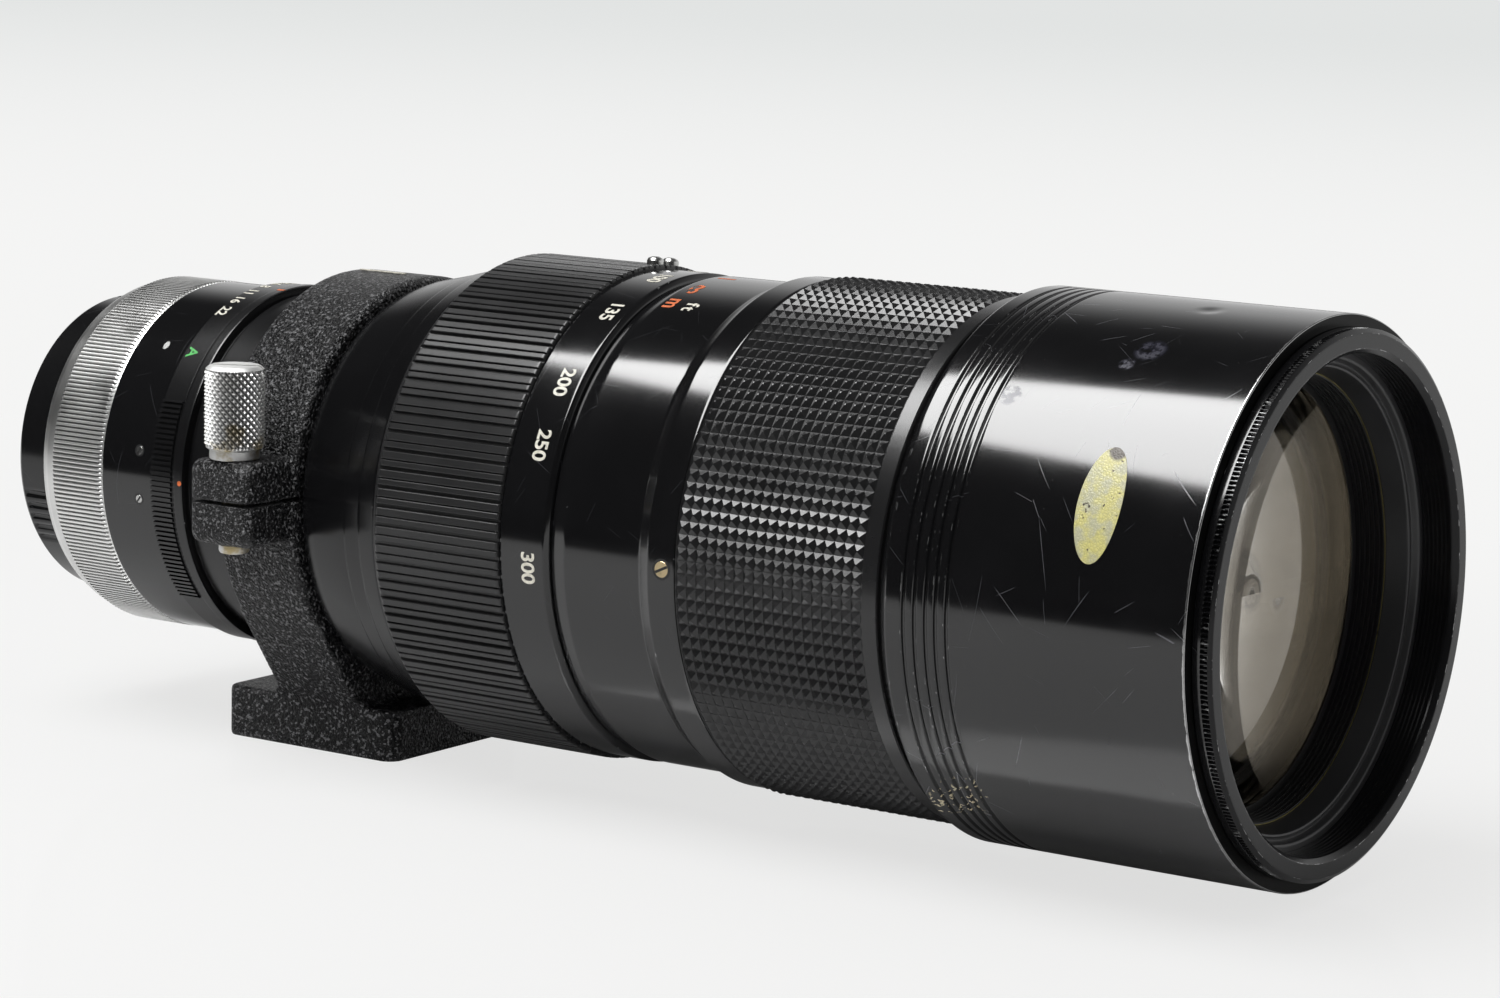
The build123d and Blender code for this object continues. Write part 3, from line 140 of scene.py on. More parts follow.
def mix(tree, factor, first, second):
    """Colour between two colours."""
    first, second = (colour if isinstance(colour, bpy.types.NodeSocket) else (*colour, 1)
                     for colour in (first, second))
    return add(tree, "Mix", {0: factor, 6: first, 7: second}, data_type="RGBA").outputs[2]


def object_coordinates(tree, scale=(1, 1, 1), offset=(0, 0, 0)):
    coordinates = add(tree, "TexCoord").outputs["Object"]
    return add(tree, "Mapping", {0: coordinates, 1: offset, 3: scale}).outputs[0]


def noise_at(tree, scale, detail=3.0, stretch=(1, 1, 1)):
    """Noise from 0 to 1 in the object's own space."""
    vector = object_coordinates(tree, stretch)
    return add(tree, "TexNoise", {"Vector": vector, "Scale": scale, "Detail": detail,
                                  "Roughness": 0.55}).outputs["Fac"]


def scratches(tree, cell, width, chance, offset=(0, 0, 0)):
    """Short straight scratches, 0 to 1: in some cells a thin sheet, at the cell's own slant, cuts
    the surface. The cell's size and the sheet's width are in metres."""
    start = object_coordinates(tree, offset=offset)
    cells = add(tree, "TexVoronoi", {"Vector": start, "Scale": 1 / cell, "Randomness": 1.0})
    away = vector_node(tree, "SUBTRACT", start, cells.outputs["Position"])
    slant = vector_node(tree, "SUBTRACT", cells.outputs["Color"], (0.5, 0.5, 0.5))
    slant = vector_node(tree, "NORMALIZE", slant)
    sheet = vector_node(tree, "DOT_PRODUCT", away, slant, "Value")
    line = ramp(tree, math_node(tree, "ABSOLUTE", sheet), width * 0.3, width, 1.0, 0.0)
    ends = ramp(tree, cells.outputs["Distance"], 0.30, 0.55, 1.0, 0.0)
    chosen = add(tree, "SeparateXYZ", {0: cells.outputs["Color"]}).outputs[1]
    chosen = math_node(tree, "LESS_THAN", chosen, chance)
    return times(tree, times(tree, line, ends), chosen)


def worn(tree, amount):
    """How far an edge is rubbed bright: the more exposed it is, the less the noise leaves black."""
    edge = mesh_value(tree, "edge")
    level = plus(tree, noise_at(tree, 700.0, 4.0), times(tree, edge, amount * 0.35))
    return times(tree, ramp(tree, edge, 0.55, 0.95), ramp(tree, level, 0.72, 0.82), clamp=True)


def bump(tree, height, distance, strength=1.0):
    return add(tree, "Bump", {"Height": height, "Distance": distance, "Strength": strength}).outputs[0]


def near(tree, x, r, angle, radius):
    """One within a radius in millimetres of a place on the lens, fading to nought at its border."""
    away = vector_node(tree, "DISTANCE", object_coordinates(tree), place(x, r, angle), "Value")
    return ramp(tree, away, radius * 0.6 * MM, radius * MM, 1.0, 0.0)


bare_grey = (0.42, 0.42, 0.42)
stain_brown = (0.42, 0.35, 0.20)


def black_coating(name, grey, roughness, wear, scratch=0.0, turning=0.0, dust=0.0, ior=1.5,
                  smudges=(), chips=()):
    """Black anodising or paint over aluminium, of a slightly blue grey, with turning marks, fine
    scratches and worn edges. Smudges and chips are given as (x, r, angle, radius)."""
    base = (grey[0], grey[0], grey[1])
    material, tree = new_material(name)
    patchy = noise_at(tree, 55, 4.0)
    fine = noise_at(tree, 420, 3.0)
    metal = worn(tree, wear)
    black = mix(tree, ramp(tree, patchy, 0.35, 0.75), base, [value * 1.35 for value in base])
    if dust:
        specks = ramp(tree, noise_at(tree, 2600, 2.0), 0.74, 0.80)
        black = mix(tree, times(tree, specks, dust), black, (0.30, 0.29, 0.27))
    gloss = ramp(tree, patchy, 0.3, 0.75, roughness * 0.93, roughness * 1.1)
    if scratch:
        lines = [scratches(tree, 0.008, 0.00006, 0.4),
                 scratches(tree, 0.0045, 0.00004, 0.4, (0.03, 0.02, 0.05)),
                 scratches(tree, 0.013, 0.00005, 0.4, (0.07, 0.01, 0.02))]
        hairs = larger(tree, larger(tree, lines[0], lines[1]), lines[2])
        hairs = times(tree, hairs, ramp(tree, noise_at(tree, 40), 0.42, 0.62, 0.15, scratch))
        black = mix(tree, hairs, black, (0.13, 0.13, 0.145))
        gloss = plus(tree, gloss, times(tree, hairs, 0.25))
    for spot in smudges:
        film = times(tree, near(tree, *spot), ramp(tree, noise_at(tree, 800, 3.0), 0.35, 0.55))
        black = mix(tree, film, black, (0.018, 0.018, 0.034))
        gloss = plus(tree, gloss, times(tree, film, 0.2))
    for spot in chips:
        lost = times(tree, near(tree, *spot), ramp(tree, noise_at(tree, 1300, 2.0), 0.61, 0.64))
        black = mix(tree, lost, black, (0.55, 0.48, 0.32))
    height = times(tree, fine, 0.25)
    if turning:
        lathe_marks = noise_at(tree, 1.0, 2.0, (9000, 0, 0))
        height = plus(tree, height, times(tree, lathe_marks, turning))
    surface(tree, {"Base Color": mix(tree, metal, black, bare_grey), "Metallic": times(tree, metal, 0.95),
                   "Roughness": plus(tree, gloss, times(tree, metal, 0.15)), "IOR": ior,
                   "Normal": bump(tree, height, 0.000006, 0.6)})
    return material


def bare_metal(name, colour, roughness, stain=None, stretch=(1, 1, 1), grain=0.25, painted_pit_shade=0.0,
               below=None):
    """Turned or plated metal with fine grain and faint stains, which may be thicker below a height,
    and painted shade that darkens the pits of a knurl.
    """
    material, tree = new_material(name)
    cloudy = noise_at(tree, 90, 4.0)
    grains = noise_at(tree, 1500, 2.0, stretch)
    tone = mix(tree, ramp(tree, cloudy, 0.3, 0.75), colour, [value * 0.92 for value in colour])
    if stain:
        level = noise_at(tree, 260, 5.0)
        if below:
            height = add(tree, "SeparateXYZ", {0: object_coordinates(tree)}).outputs[2]
            level = plus(tree, level, ramp(tree, height, below[0], below[1], 0.16, -0.2))
        tone = mix(tree, ramp(tree, level, 0.55, 0.75), tone, stain)
    edge = mesh_value(tree, "edge")
    tone = mix(tree, times(tree, edge, 0.35), tone, [min(1, value * 1.35) for value in colour])
    # Painted shade: the colour is darkened where the mesh marks a hollow, in the pits of a knurl.
    if painted_pit_shade:
        pit = mesh_value(tree, "pit")
        tone = mix(tree, times(tree, pit, painted_pit_shade), tone, (0.05, 0.05, 0.05))
    surface(tree, {"Base Color": tone, "Metallic": 1.0,
                   "Roughness": ramp(tree, cloudy, 0.2, 0.8, roughness * 0.75, roughness * 1.3),
                   "Normal": bump(tree, grains, 0.000008, grain)})
    return material


def paint_mark(name, colour, wear=0.25):
    """Paint in an engraved mark, a little uneven and chipped."""
    material, tree = new_material(name)
    patches = noise_at(tree, 1300, 4.0)
    tone = mix(tree, ramp(tree, patches, 0.35, 0.7), colour, [value * 0.72 for value in colour])
    chipped = ramp(tree, noise_at(tree, 2300, 3.0), 0.72 - wear * 0.2, 0.80 - wear * 0.2)
    surface(tree, {"Base Color": mix(tree, chipped, tone, (0.03, 0.03, 0.03)), "Roughness": 0.5,
                   "Normal": bump(tree, patches, 0.00001, 0.4)})
    return material


def crackle():
    """Wrinkle paint on a casting: black grains with painted glints, grain tops painted lighter as a
    painted highlight, and rubbed smooth edges.
    """
    material, tree = new_material("crackle_paint")
    vector = object_coordinates(tree)
    grains = add(tree, "TexVoronoi", {"Vector": vector, "Scale": 1900.0, "Randomness": 1.0},
                 feature="F1").outputs["Distance"]
    broad = noise_at(tree, 1500, 2.0)
    tiny = noise_at(tree, 4200, 2.0)
    height = plus(tree, times(tree, grains, -0.9),
                  plus(tree, times(tree, broad, 0.6), times(tree, tiny, 0.5)))
    edge = mesh_value(tree, "edge")
    rubbed = times(tree, edge, ramp(tree, noise_at(tree, 190, 4.0), 0.40, 0.62), clamp=True)
    # Painted highlight: the tops of the grains are painted lighter than their hollows, and the light dust
    # specks are laid only on these tops.
    painted_light_tips = ramp(tree, height, 0.12, 0.42)
    dust = times(tree, ramp(tree, noise_at(tree, 700, 3.0), 0.55, 0.7), 0.5)
    tone = mix(tree, times(tree, painted_light_tips, 0.5), (0.002, 0.002, 0.0025), (0.018, 0.018, 0.020))
    tone = mix(tree, times(tree, dust, painted_light_tips), tone, (0.11, 0.105, 0.10))
    # Painted glints: light grey specks in the base colour.
    painted_glints = ramp(tree, noise_at(tree, 1700, 1.0), 0.57, 0.64)
    tone = mix(tree, times(tree, painted_glints, 0.85), tone, (0.17, 0.17, 0.175))
    tone = mix(tree, times(tree, rubbed, 0.8), tone, (0.07, 0.07, 0.072))
    depth = times(tree, height, ramp(tree, rubbed, 0.0, 1.0, 1.0, 0.25))
    surface(tree, {"Base Color": tone, "Roughness": ramp(tree, rubbed, 0.0, 1.0, 0.36, 0.24), "IOR": 1.36,
                   "Normal": bump(tree, depth, 0.00042)})
    return material


def glass(name, tint, roughness=0.0):
    """Coated glass with amber reflections."""
    material, tree = new_material(name)
    cloudy = ramp(tree, noise_at(tree, 30, 2.0), 0.3, 0.7, 0.0, 0.012)
    surface(tree, {"Base Color": (*tint, 1), "Roughness": plus(tree, cloudy, roughness), "IOR": 1.52,
                   "Transmission Weight": 1.0, "Specular Tint": (1.0, 0.86, 0.66, 1)})
    return material


gloss_black = black_coating("gloss_black", (0.005, 0.0055), 0.11, 0.15, scratch=0.18, turning=0.4,
                            ior=1.6)
front_black = black_coating("scratched_gloss_black", (0.005, 0.0055), 0.11, 0.45, scratch=1.0,
                            turning=0.3, dust=0.25, ior=1.6,
                            smudges=((219.7, front_r, 28.6, 3.0), (217.5, front_r, 33.5, 1.6),
                                     (201.2, front_r, 44.8, 2.4)),
                            chips=((193.4, 45.2, 136, 5.5), (197.5, 45.2, 131, 3.5),
                                   (189.0, 45.2, 139, 3.5)))
flare_black = black_coating("flare_black", (0.004, 0.0045), 0.20, 0.1, turning=0.5, dust=0.1, ior=1.36)
recess_black = black_coating("recess_black", (0.003, 0.003), 0.3, 0.0, ior=1.15)
name_black = black_coating("name_ring_black", (0.020, 0.021), 0.38, 0.0, turning=0.8)
satin_black = black_coating("satin_black", (0.006, 0.0065), 0.24, 0.1, turning=0.6, dust=0.15)
grip_black = black_coating("grip_black", (0.019, 0.0195), 0.30, 0.0, dust=0.25, ior=1.45)
focus_black = black_coating("focus_grip_black", (0.013, 0.0135), 0.22, 0.0, dust=0.15, ior=1.5)
dark_face = black_coating("dark_grey_face", (0.005, 0.0055), 0.22, 0.6, turning=0.8, dust=0.2,
                          ior=1.33)
inner_black = black_coating("inner_black", (0.012, 0.012), 0.45, 0.0, turning=0.3)
cap_black = black_coating("cap_plastic", (0.006, 0.0065), 0.16, 0.0, scratch=0.2)
chrome = bare_metal("satin_chrome", (0.66, 0.66, 0.65), 0.34, grain=0.0, painted_pit_shade=0.75)
knurled = bare_metal("knurled_aluminium", (0.74, 0.74, 0.73), 0.5, stain=stain_brown, grain=0.1,
                     painted_pit_shade=0.8, below=(0.010, 0.019))
steel = bare_metal("turned_steel", (0.50, 0.50, 0.49), 0.28, stretch=(6, 1, 1), painted_pit_shade=0.6)
brass = bare_metal("turned_brass", (0.62, 0.50, 0.30), 0.3, stain=(0.10, 0.08, 0.05), stretch=(6, 1, 1))
dull_brass = bare_metal("dull_brass", (0.22, 0.19, 0.07), 0.4, stain=(0.02, 0.02, 0.01))
anodised = bare_metal("dark_aluminium", (0.10, 0.10, 0.10), 0.4, stretch=(8, 1, 1))
blade_steel = bare_metal("blade_steel", (0.07, 0.07, 0.075), 0.42)
casting = crackle()
lens_glass = glass("coated_glass", (0.93, 0.90, 0.84))
inner_glass = glass("inner_glass", (0.90, 0.86, 0.78), 0.16)
cream_paint = paint_mark("cream_paint", (0.84, 0.81, 0.70), 0.1)
orange_paint = paint_mark("orange_paint", (0.78, 0.16, 0.03))
green_paint = paint_mark("green_paint", (0.05, 0.52, 0.08))


def foil():
    """Yellow foil of a blank sticker, crazed, rubbed grey and dark in places."""
    material, tree = new_material("sticker_foil")
    cloudy = noise_at(tree, 420, 5.0)
    crazing = add(tree, "TexVoronoi", {"Vector": object_coordinates(tree), "Scale": 2000.0},
                  feature="DISTANCE_TO_EDGE").outputs["Distance"]
    tone = mix(tree, ramp(tree, cloudy, 0.38, 0.62), (0.66, 0.61, 0.21), (0.52, 0.51, 0.33))
    tone = mix(tree, ramp(tree, crazing, 0.02, 0.10, 0.30, 0.0), tone, (0.17, 0.16, 0.09))
    lost = ramp(tree, noise_at(tree, 900, 3.0), 0.64, 0.68)
    lost = larger(tree, lost, near(tree, 223.6, front_r, 54.6, 1.9))
    surface(tree, {"Base Color": mix(tree, lost, tone, (0.05, 0.035, 0.02)), "Roughness": 0.42,
                   "Normal": bump(tree, plus(tree, cloudy, crazing), 0.00012, 0.5)})
    return material


sticker_foil = foil()


# ---------------------------------------------------------------- meshes

def linked(name, data):
    """New object in the scene."""
    piece = bpy.data.objects.new(name, data)
    bpy.context.scene.collection.objects.link(piece)
    return piece


def applied(piece):
    """Mesh of an object with its modifiers applied. The object itself goes."""
    bpy.context.view_layer.update()
    mesh = bpy.data.meshes.new_from_object(piece.evaluated_get(bpy.context.evaluated_depsgraph_get()))
    bpy.data.objects.remove(piece)
    return mesh


def finish_piece(name, mesh, material, body, nodes=(), smooth=32):
    """Object from a mesh, shaded smooth below an angle, riding on its body."""
    mesh.materials.append(material)
    for polygon in mesh.polygons:
        polygon.use_smooth = True
    mesh.set_sharp_from_angle(angle=radians(smooth))
    piece = linked(name, mesh)
    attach(piece, body)
    for node in nodes:
        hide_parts(node)
    return piece


def soften(outline, cut):
    """Corners of a closed outline cut back a little, with a narrow band beside each in which wear
    fades out. Gives (x, r, how exposed the point is)."""
    count = len(outline)
    area = sum(outline[i - 1][0] * outline[i][1] - outline[i][0] * outline[i - 1][1] for i in range(count))
    softened = []
    for i, (x, r) in enumerate(outline):
        corner = Vector((x, r))
        before = Vector(outline[i - 1]) - corner
        after = Vector(outline[(i + 1) % count]) - corner
        turn = before.x * after.y - before.y * after.x
        if abs(turn) / (before.length * after.length) < 0.12 or r < 0.01:
            softened.append((x, r, 0.0))
            continue
        exposed = 1.0 if turn * area < 0 else 0.0
        size = min(cut, 0.3 * before.length, 0.3 * after.length)
        band = [min(size + 0.3, 0.45 * side.length) for side in (before, after)]
        first, last = corner + before.normalized() * size, corner + after.normalized() * size
        softened.append((*(corner + before.normalized() * band[0]), 0.0))
        softened += [(*first, 0.7 * exposed), (*((first + last) * 0.25 + corner * 0.5), exposed),
                     (*last, 0.7 * exposed)]
        softened.append((*(corner + after.normalized() * band[1]), 0.0))
    return softened


def ring(name, outline, body, material, nodes=(), columns=360, cut=0.12, shape=None, smooth=32):
    """Piece turned about the lens axis from a closed outline of (x, r). Columns are a count, or a
    list of (angle, value), and shape(x, r, angle, value, exposed) gives a point's own radius, how
    exposed it is and how hollow."""
    if isinstance(columns, int):
        columns = [(i * 360 / columns, 0.0) for i in range(columns)]
    stations = soften(outline, cut) if cut else [(x, r, 0.0) for x, r in outline]
    points, edge, pit, faces = [], [], [], []
    for angle, value in columns:
        for x, r, exposed in stations:
            hollow = 0.0
            if shape:
                r, exposed, hollow = shape(x, r, angle, value, exposed)
            points.append(place(x, r, angle))
            edge.append(exposed)
            pit.append(hollow)
    rows = len(stations)
    for i in range(len(columns)):
        after = (i + 1) % len(columns)
        for j in range(rows):
            below = (j + 1) % rows
            faces.append((i * rows + j, after * rows + j, after * rows + below, i * rows + below))
    mesh = bpy.data.meshes.new(name)
    mesh.from_pydata([tuple(point) for point in points], [], faces)
    for label, values in (("edge", edge), ("pit", pit)):
        mesh.attributes.new(label, "FLOAT", "POINT").data.foreach_set("value", values)
    mesh.validate()
    model = bmesh.new()
    model.from_mesh(mesh)
    bmesh.ops.remove_doubles(model, verts=model.verts, dist=1e-7)
    bmesh.ops.recalc_face_normals(model, faces=model.faces)
    model.to_mesh(mesh)
    model.free()
    return finish_piece(name, mesh, material, body, nodes, smooth)


def pattern_columns(count, shares, start=0.0):
    """Columns of a pattern repeated round the ring: (share of the pitch, value)."""
    pitch = 360 / count
    return [(start + (i + share) * pitch, value) for i in range(count) for share, value in shares]


def second_material(piece, material, chosen):
    """Another material on the faces of a ring whose middle (x, r) is chosen."""
    piece.data.materials.append(material)
    for polygon in piece.data.polygons:
        middle = polygon.center / MM
        if chosen(middle.x, hypot(middle.y, middle.z)):
            polygon.material_index = 1


def split_at(model, direction, distance):
    """Mesh split along a plane at a distance from the origin."""
    bmesh.ops.bisect_plane(model, geom=model.verts[:] + model.edges[:] + model.faces[:],
                           plane_co=direction * distance, plane_no=direction)


def wrapped(name, mesh, x, angle, r, material, body):
    """Flat mesh in millimetres, read along its x, laid round the lens with its y towards the front.
    It is split into narrow strips first, so that it bends."""
    strip = 0.4
    model = bmesh.new()
    model.from_mesh(mesh)
    for axis, direction in enumerate((Vector((1, 0, 0)), Vector((0, 1, 0)))):
        step = min(vertex.co[axis] for vertex in model.verts) + strip
        high = max(vertex.co[axis] for vertex in model.verts)
        while step < high:
            split_at(model, direction, step)
            step += strip
    for vertex in model.verts:
        vertex.co = place(x + vertex.co.y, r + vertex.co.z, angle + degrees(vertex.co.x / r))
    new = bpy.data.meshes.new(name)
    model.to_mesh(new)
    model.free()
    bpy.data.meshes.remove(mesh)
    return finish_piece(name, new, material, body)


def marking(name, text, x, angle, height, r, material, body, spread=1.0):
    """Characters engraved and filled with paint, read round the lens."""
    raised = 0.03
    curve = bpy.data.curves.new(name, "FONT")
    curve.body = text
    curve.space_character = spread
    curve.extrude = 0.01
    curve.offset = 0.022
    flat = applied(linked(name + "_curve", curve))
    bpy.data.curves.remove(curve)
    low = Vector([min(vertex.co[i] for vertex in flat.vertices) for i in range(3)])
    high = Vector([max(vertex.co[i] for vertex in flat.vertices) for i in range(3)])
    scale = height / (high.y - low.y)
    middle = (low + high) / 2
    for vertex in flat.vertices:
        vertex.co = Vector(((vertex.co.x - middle.x) * scale, (vertex.co.y - middle.y) * scale,
                            raised * 0.5 + (vertex.co.z > 0) * raised))
    return wrapped(name, flat, x, angle, r, material, body)


def stripe(name, x0, x1, angle0, angle1, r, material, body, raised=0.03):
    """Painted line or band between two places along the axis and two angles."""
    width = radians(angle1 - angle0) * r
    length = x1 - x0
    flat = bpy.data.meshes.new(name)
    flat.from_pydata([(sx * width / 2, sy * length / 2, sz * raised) for sz in (0.2, 1) for sy in (-1, 1)
                      for sx in (-1, 1)], [],
                     [(0, 2, 3, 1), (4, 5, 7, 6), (0, 1, 5, 4), (1, 3, 7, 5), (3, 2, 6, 7), (2, 0, 4, 6)])
    return wrapped(name, flat, (x0 + x1) / 2, (angle0 + angle1) / 2, r, material, body)


def disc(name, x, angle, r, radius, material, body, raised=0.03, sides=28, across=None):
    """Round patch laid on the lens, or an oval one whose half width round the lens is across."""
    across = across or radius
    rim = [(across * cos(2 * pi * i / sides), radius * sin(2 * pi * i / sides)) for i in range(sides)]
    flat = bpy.data.meshes.new(name)
    top = [(u, v, raised) for u, v in rim]
    bottom = [(u, v, 0.0) for u, v in rim]
    faces = [tuple(range(sides)), tuple(range(2 * sides - 1, sides - 1, -1))]
    faces += [(i, sides + i, sides + (i + 1) % sides, (i + 1) % sides) for i in range(sides)]
    flat.from_pydata(top + bottom, [], faces)
    return wrapped(name, flat, x, angle, r, material, body)


def screw_head(name, x, angle, r, radius, material, body, turn, nodes, slot_width):
    """Slotted screw head seen from outside, its top at r."""
    model = bmesh.new()
    sides, height, bevel, slot_depth = 48, 1.2, 0.12, 0.45
    loops = []
    for level, size in ((-height, radius), (-bevel, radius), (0.0, radius - bevel)):
        turns = [2 * pi * i / sides for i in range(sides)]
        loops.append([model.verts.new((size * cos(t), size * sin(t), level)) for t in turns])
    for lower, upper in zip(loops, loops[1:]):
        for i in range(sides):
            model.faces.new((lower[i], lower[(i + 1) % sides], upper[(i + 1) % sides], upper[i]))
    model.faces.new(loops[-1])
    model.faces.new(loops[0][::-1])
    for offset in (-slot_width / 2, slot_width / 2):
        split_at(model, Vector((0, 1, 0)), offset)
    channel = [face for face in model.faces
               if face.normal.z > 0.9 and abs(face.calc_center_median().y) < slot_width / 2
               and face.calc_center_median().z > -0.05]
    extruded = bmesh.ops.extrude_face_region(model, geom=channel)
    bmesh.ops.delete(model, geom=channel, context="FACES")
    for vertex in extruded["geom"]:
        if isinstance(vertex, bmesh.types.BMVert):
            vertex.co.z -= slot_depth
    matrix = (Matrix.Rotation(radians(angle), 4, "X") @ Matrix.Translation((x, 0, r))
              @ Matrix.Rotation(radians(turn), 4, "Z"))
    bmesh.ops.transform(model, matrix=Matrix.Scale(MM, 4) @ matrix, verts=model.verts)
    mesh = bpy.data.meshes.new(name)
    model.to_mesh(mesh)
    model.free()
    return finish_piece(name, mesh, material, body, nodes)


# ---------------------------------------------------------------- rear cap and mount

def rear_cap():
    """Cup cap with groups of grip grooves on its rim and a shallow groove in its back."""
    groups, lines, start, pitch = 3, 5, 104.0, 4.85
    half_groove = ((0.3, 0.48), (0.8, 0.38), (1.2, 0.22), (1.55, 0.0))
    columns = set()
    for group in range(groups):
        for line in range(lines):
            middle = start + group * 360 / groups + line * pitch
            for side in (-1, 1):
                columns |= {(round(middle + side * offset, 3) % 360, depth)
                            for offset, depth in half_groove}
    columns |= {(float(angle), 0.0) for angle in range(360)
                if all(min(abs(angle - other), 360 - abs(angle - other)) > 0.7 for other, _ in columns)}

    def shape(x, r, angle, value, exposed):
        grooved = r > cap_r - 0.1 and -11.2 < x < -4.9
        return (r - value if grooved else r), exposed, 0.0
    outline = [(-12.5, 0), (-12.5, 18.0), (-12.2, 18.4), (-12.2, 21.6), (-12.5, 22.0), (-12.5, 26.3),
               (-11.9, 27.2), (-11.3, cap_r), (-11.25, cap_r), (-10.8, cap_r), (-5.2, cap_r), (-4.8, cap_r),
               (-3.8, cap_r), (-3.8, 26.3), (-0.3, 26.3), (-0.3, 24.9), (-11.1, 24.9), (-11.1, 0)]
    ring("rear_cap_shell", outline, "back_cap", cap_black, ["rear_cap"], sorted(columns),
         0.25, shape, 40)


rear_cap()


def breech():
    """Chromed ring with a straight knurl between its nose and a bright front bevel."""
    def shape(x, r, angle, value, exposed):
        if 0.3 < x < 12.1 and r > 31.5:
            return min(r, breech_r - value), (1.0 if value == 0 else 0.3), value / 0.4
        return r, exposed, 0.0
    outline = [(-3.5, 29.0), (3.3, 29.0), (3.3, 27.95), (12.6, 27.95), (12.6, 31.35), (12.05, 31.66),
               (11.55, breech_r), (11.4, breech_r), (6.0, breech_r), (1.1, breech_r), (0.9, breech_r),
               (0.45, 31.67), (0.2, 31.5), (-1.6, 31.1), (-2.9, 30.5), (-3.5, 29.9)]
    tooth = ((0.0, 0.38), (0.16, 0.38), (0.36, 0.03), (0.52, 0.0), (0.68, 0.0), (0.84, 0.03))
    ring("knurled_breech_ring", outline, "breech", chrome, ["breech_ring"],
         pattern_columns(245, tooth), 0.08, shape, 25)


breech()

ring("rear_barrel_shell", [(12.65, 27.95), (23.2, 27.95), (23.2, 26.0), (33.4, 26.0), (33.4, 30.0),
                           (30.25, 30.0), (30.25, 30.6), (24.95, 30.6), (24.95, rear_barrel_r),
                           (12.65, rear_barrel_r)],
     "barrel", gloss_black, ["rear_barrel"], cut=0.15)

rear_screw_x = 21.3
for number, angle in enumerate((80.9, 96.6, 200.9, 320.9)):
    # Painted shade: a matte black disc round each screw head stands in for the shaded hollow the screw sits
    # in.
    disc(f"rear_screw_painted_shade_{number + 1}", rear_screw_x, angle, rear_barrel_r, 1.05, inner_black,
         "barrel", 0.015)
    screw_head(f"rear_screw_{number + 1}", rear_screw_x, angle, rear_barrel_r + 0.03, 0.8, steel, "barrel",
               50, ["barrel_screws"], 0.35)
disc("rear_dimple", 19.3, 44.3, rear_barrel_r, 0.6, steel, "barrel", 0.02, across=0.9)


# ---------------------------------------------------------------- aperture ring and main barrel

def aperture():
    """Aperture ring with two raised serrated grips."""
    grips, width, teeth, raised = (64.3, 244.3), 66.0, 41, 0.5
    pitch = width / teeth
    tooth_shape = ((0.0, raised), (0.3, raised), (0.38, 0.06), (0.68, 0.06), (0.76, raised))
    columns = [(float(angle), 0.0) for angle in range(360)
               if not any(start - 0.6 < angle < start + width + 0.6 for start in grips)]
    for start in grips:
        columns.append((start - 0.35, 0.0))
        columns += [(start + tooth * pitch + share * pitch, value)
                    for tooth in range(teeth) for share, value in tooth_shape]
        columns += [(start + width, raised), (start + width + 0.35, 0.0)]

    def shape(x, r, angle, value, exposed):
        if 25.25 < x < 29.98 and r > 32.5:
            return r + value, (0.35 if value > 0.4 else 0.0), 0.0
        return r, exposed, 0.0
    outline = [(25.05, 30.65), (30.2, 30.65), (30.2, 32.5), (30.0, aperture_r), (29.95, aperture_r),
               (25.3, aperture_r), (25.2, aperture_r), (25.05, 32.45)]
    ring("aperture_ring_shell", outline, "aperture", satin_black, ["aperture_ring"],
         sorted(columns), 0.06, shape, 25)
    for text, angle in (("22", 27.4), ("16", 20.4), ("11", 13.4), ("8", 6.4), ("5.6", -0.6), ("4.5", -7.6)):
        marking(f"stop_{text.replace('.', '_')}", text, 26.4, angle, 2.15, aperture_r, cream_paint,
                "aperture")
    marking("stop_automatic", "A", 26.9, 46.8, 2.3, aperture_r, green_paint, "aperture")


aperture()

ring("main_barrel_shell", [(30.3, 30.05), (33.6, 30.05), (33.6, 28.5), (66.0, 28.5), (66.0, 31.0),
                           (61.15, 31.0), (61.15, 32.3), (45.3, 32.3), (45.3, 31.5), (33.1, 31.5),
                           (33.0, 31.1), (32.5, 31.1), (32.5, index_band_r), (30.3, index_band_r)],
     "barrel", satin_black, ["main_barrel"], cut=0.18)
disc("index_dot", 31.9, 89.4, index_band_r, 0.45, orange_paint, "barrel")
stripe("index_line", 30.75, 32.3, 8.9, 10.1, index_band_r, orange_paint, "barrel")
ring("collar_retainer", [(43.7, 31.55), (45.2, 31.55), (45.2, 33.9), (43.7, 33.9)],
     "barrel", satin_black, ["collar_retaining_ring"], cut=0.2)


# ---------------------------------------------------------------- tripod collar and its screw

def without_block(mesh, centre, size, turn=0.0, solver="MANIFOLD"):
    """Mesh with a block cut out of it, the block's centre and size in millimetres, turned about Z.
    The mesh comes back without materials."""
    mesh.materials.clear()
    carrier = linked("carrier", mesh)
    model = bmesh.new()
    bmesh.ops.create_cube(model, size=1)
    matrix = (Matrix.Translation([value * MM for value in centre]) @ Matrix.Rotation(radians(turn), 4, "Z")
              @ Matrix.Diagonal([*(value * MM for value in size), 1]))
    bmesh.ops.transform(model, matrix=matrix, verts=model.verts)
    block = linked("cutter", bpy.data.meshes.new("cutter"))
    model.to_mesh(block.data)
    model.free()
    cut = carrier.modifiers.new("cut", "BOOLEAN")
    cut.object = block
    cut.solver = solver
    result = applied(carrier)
    bpy.data.objects.remove(block)
    result.materials.clear()
    for polygon in result.polygons:
        polygon.material_index = 0
    return result


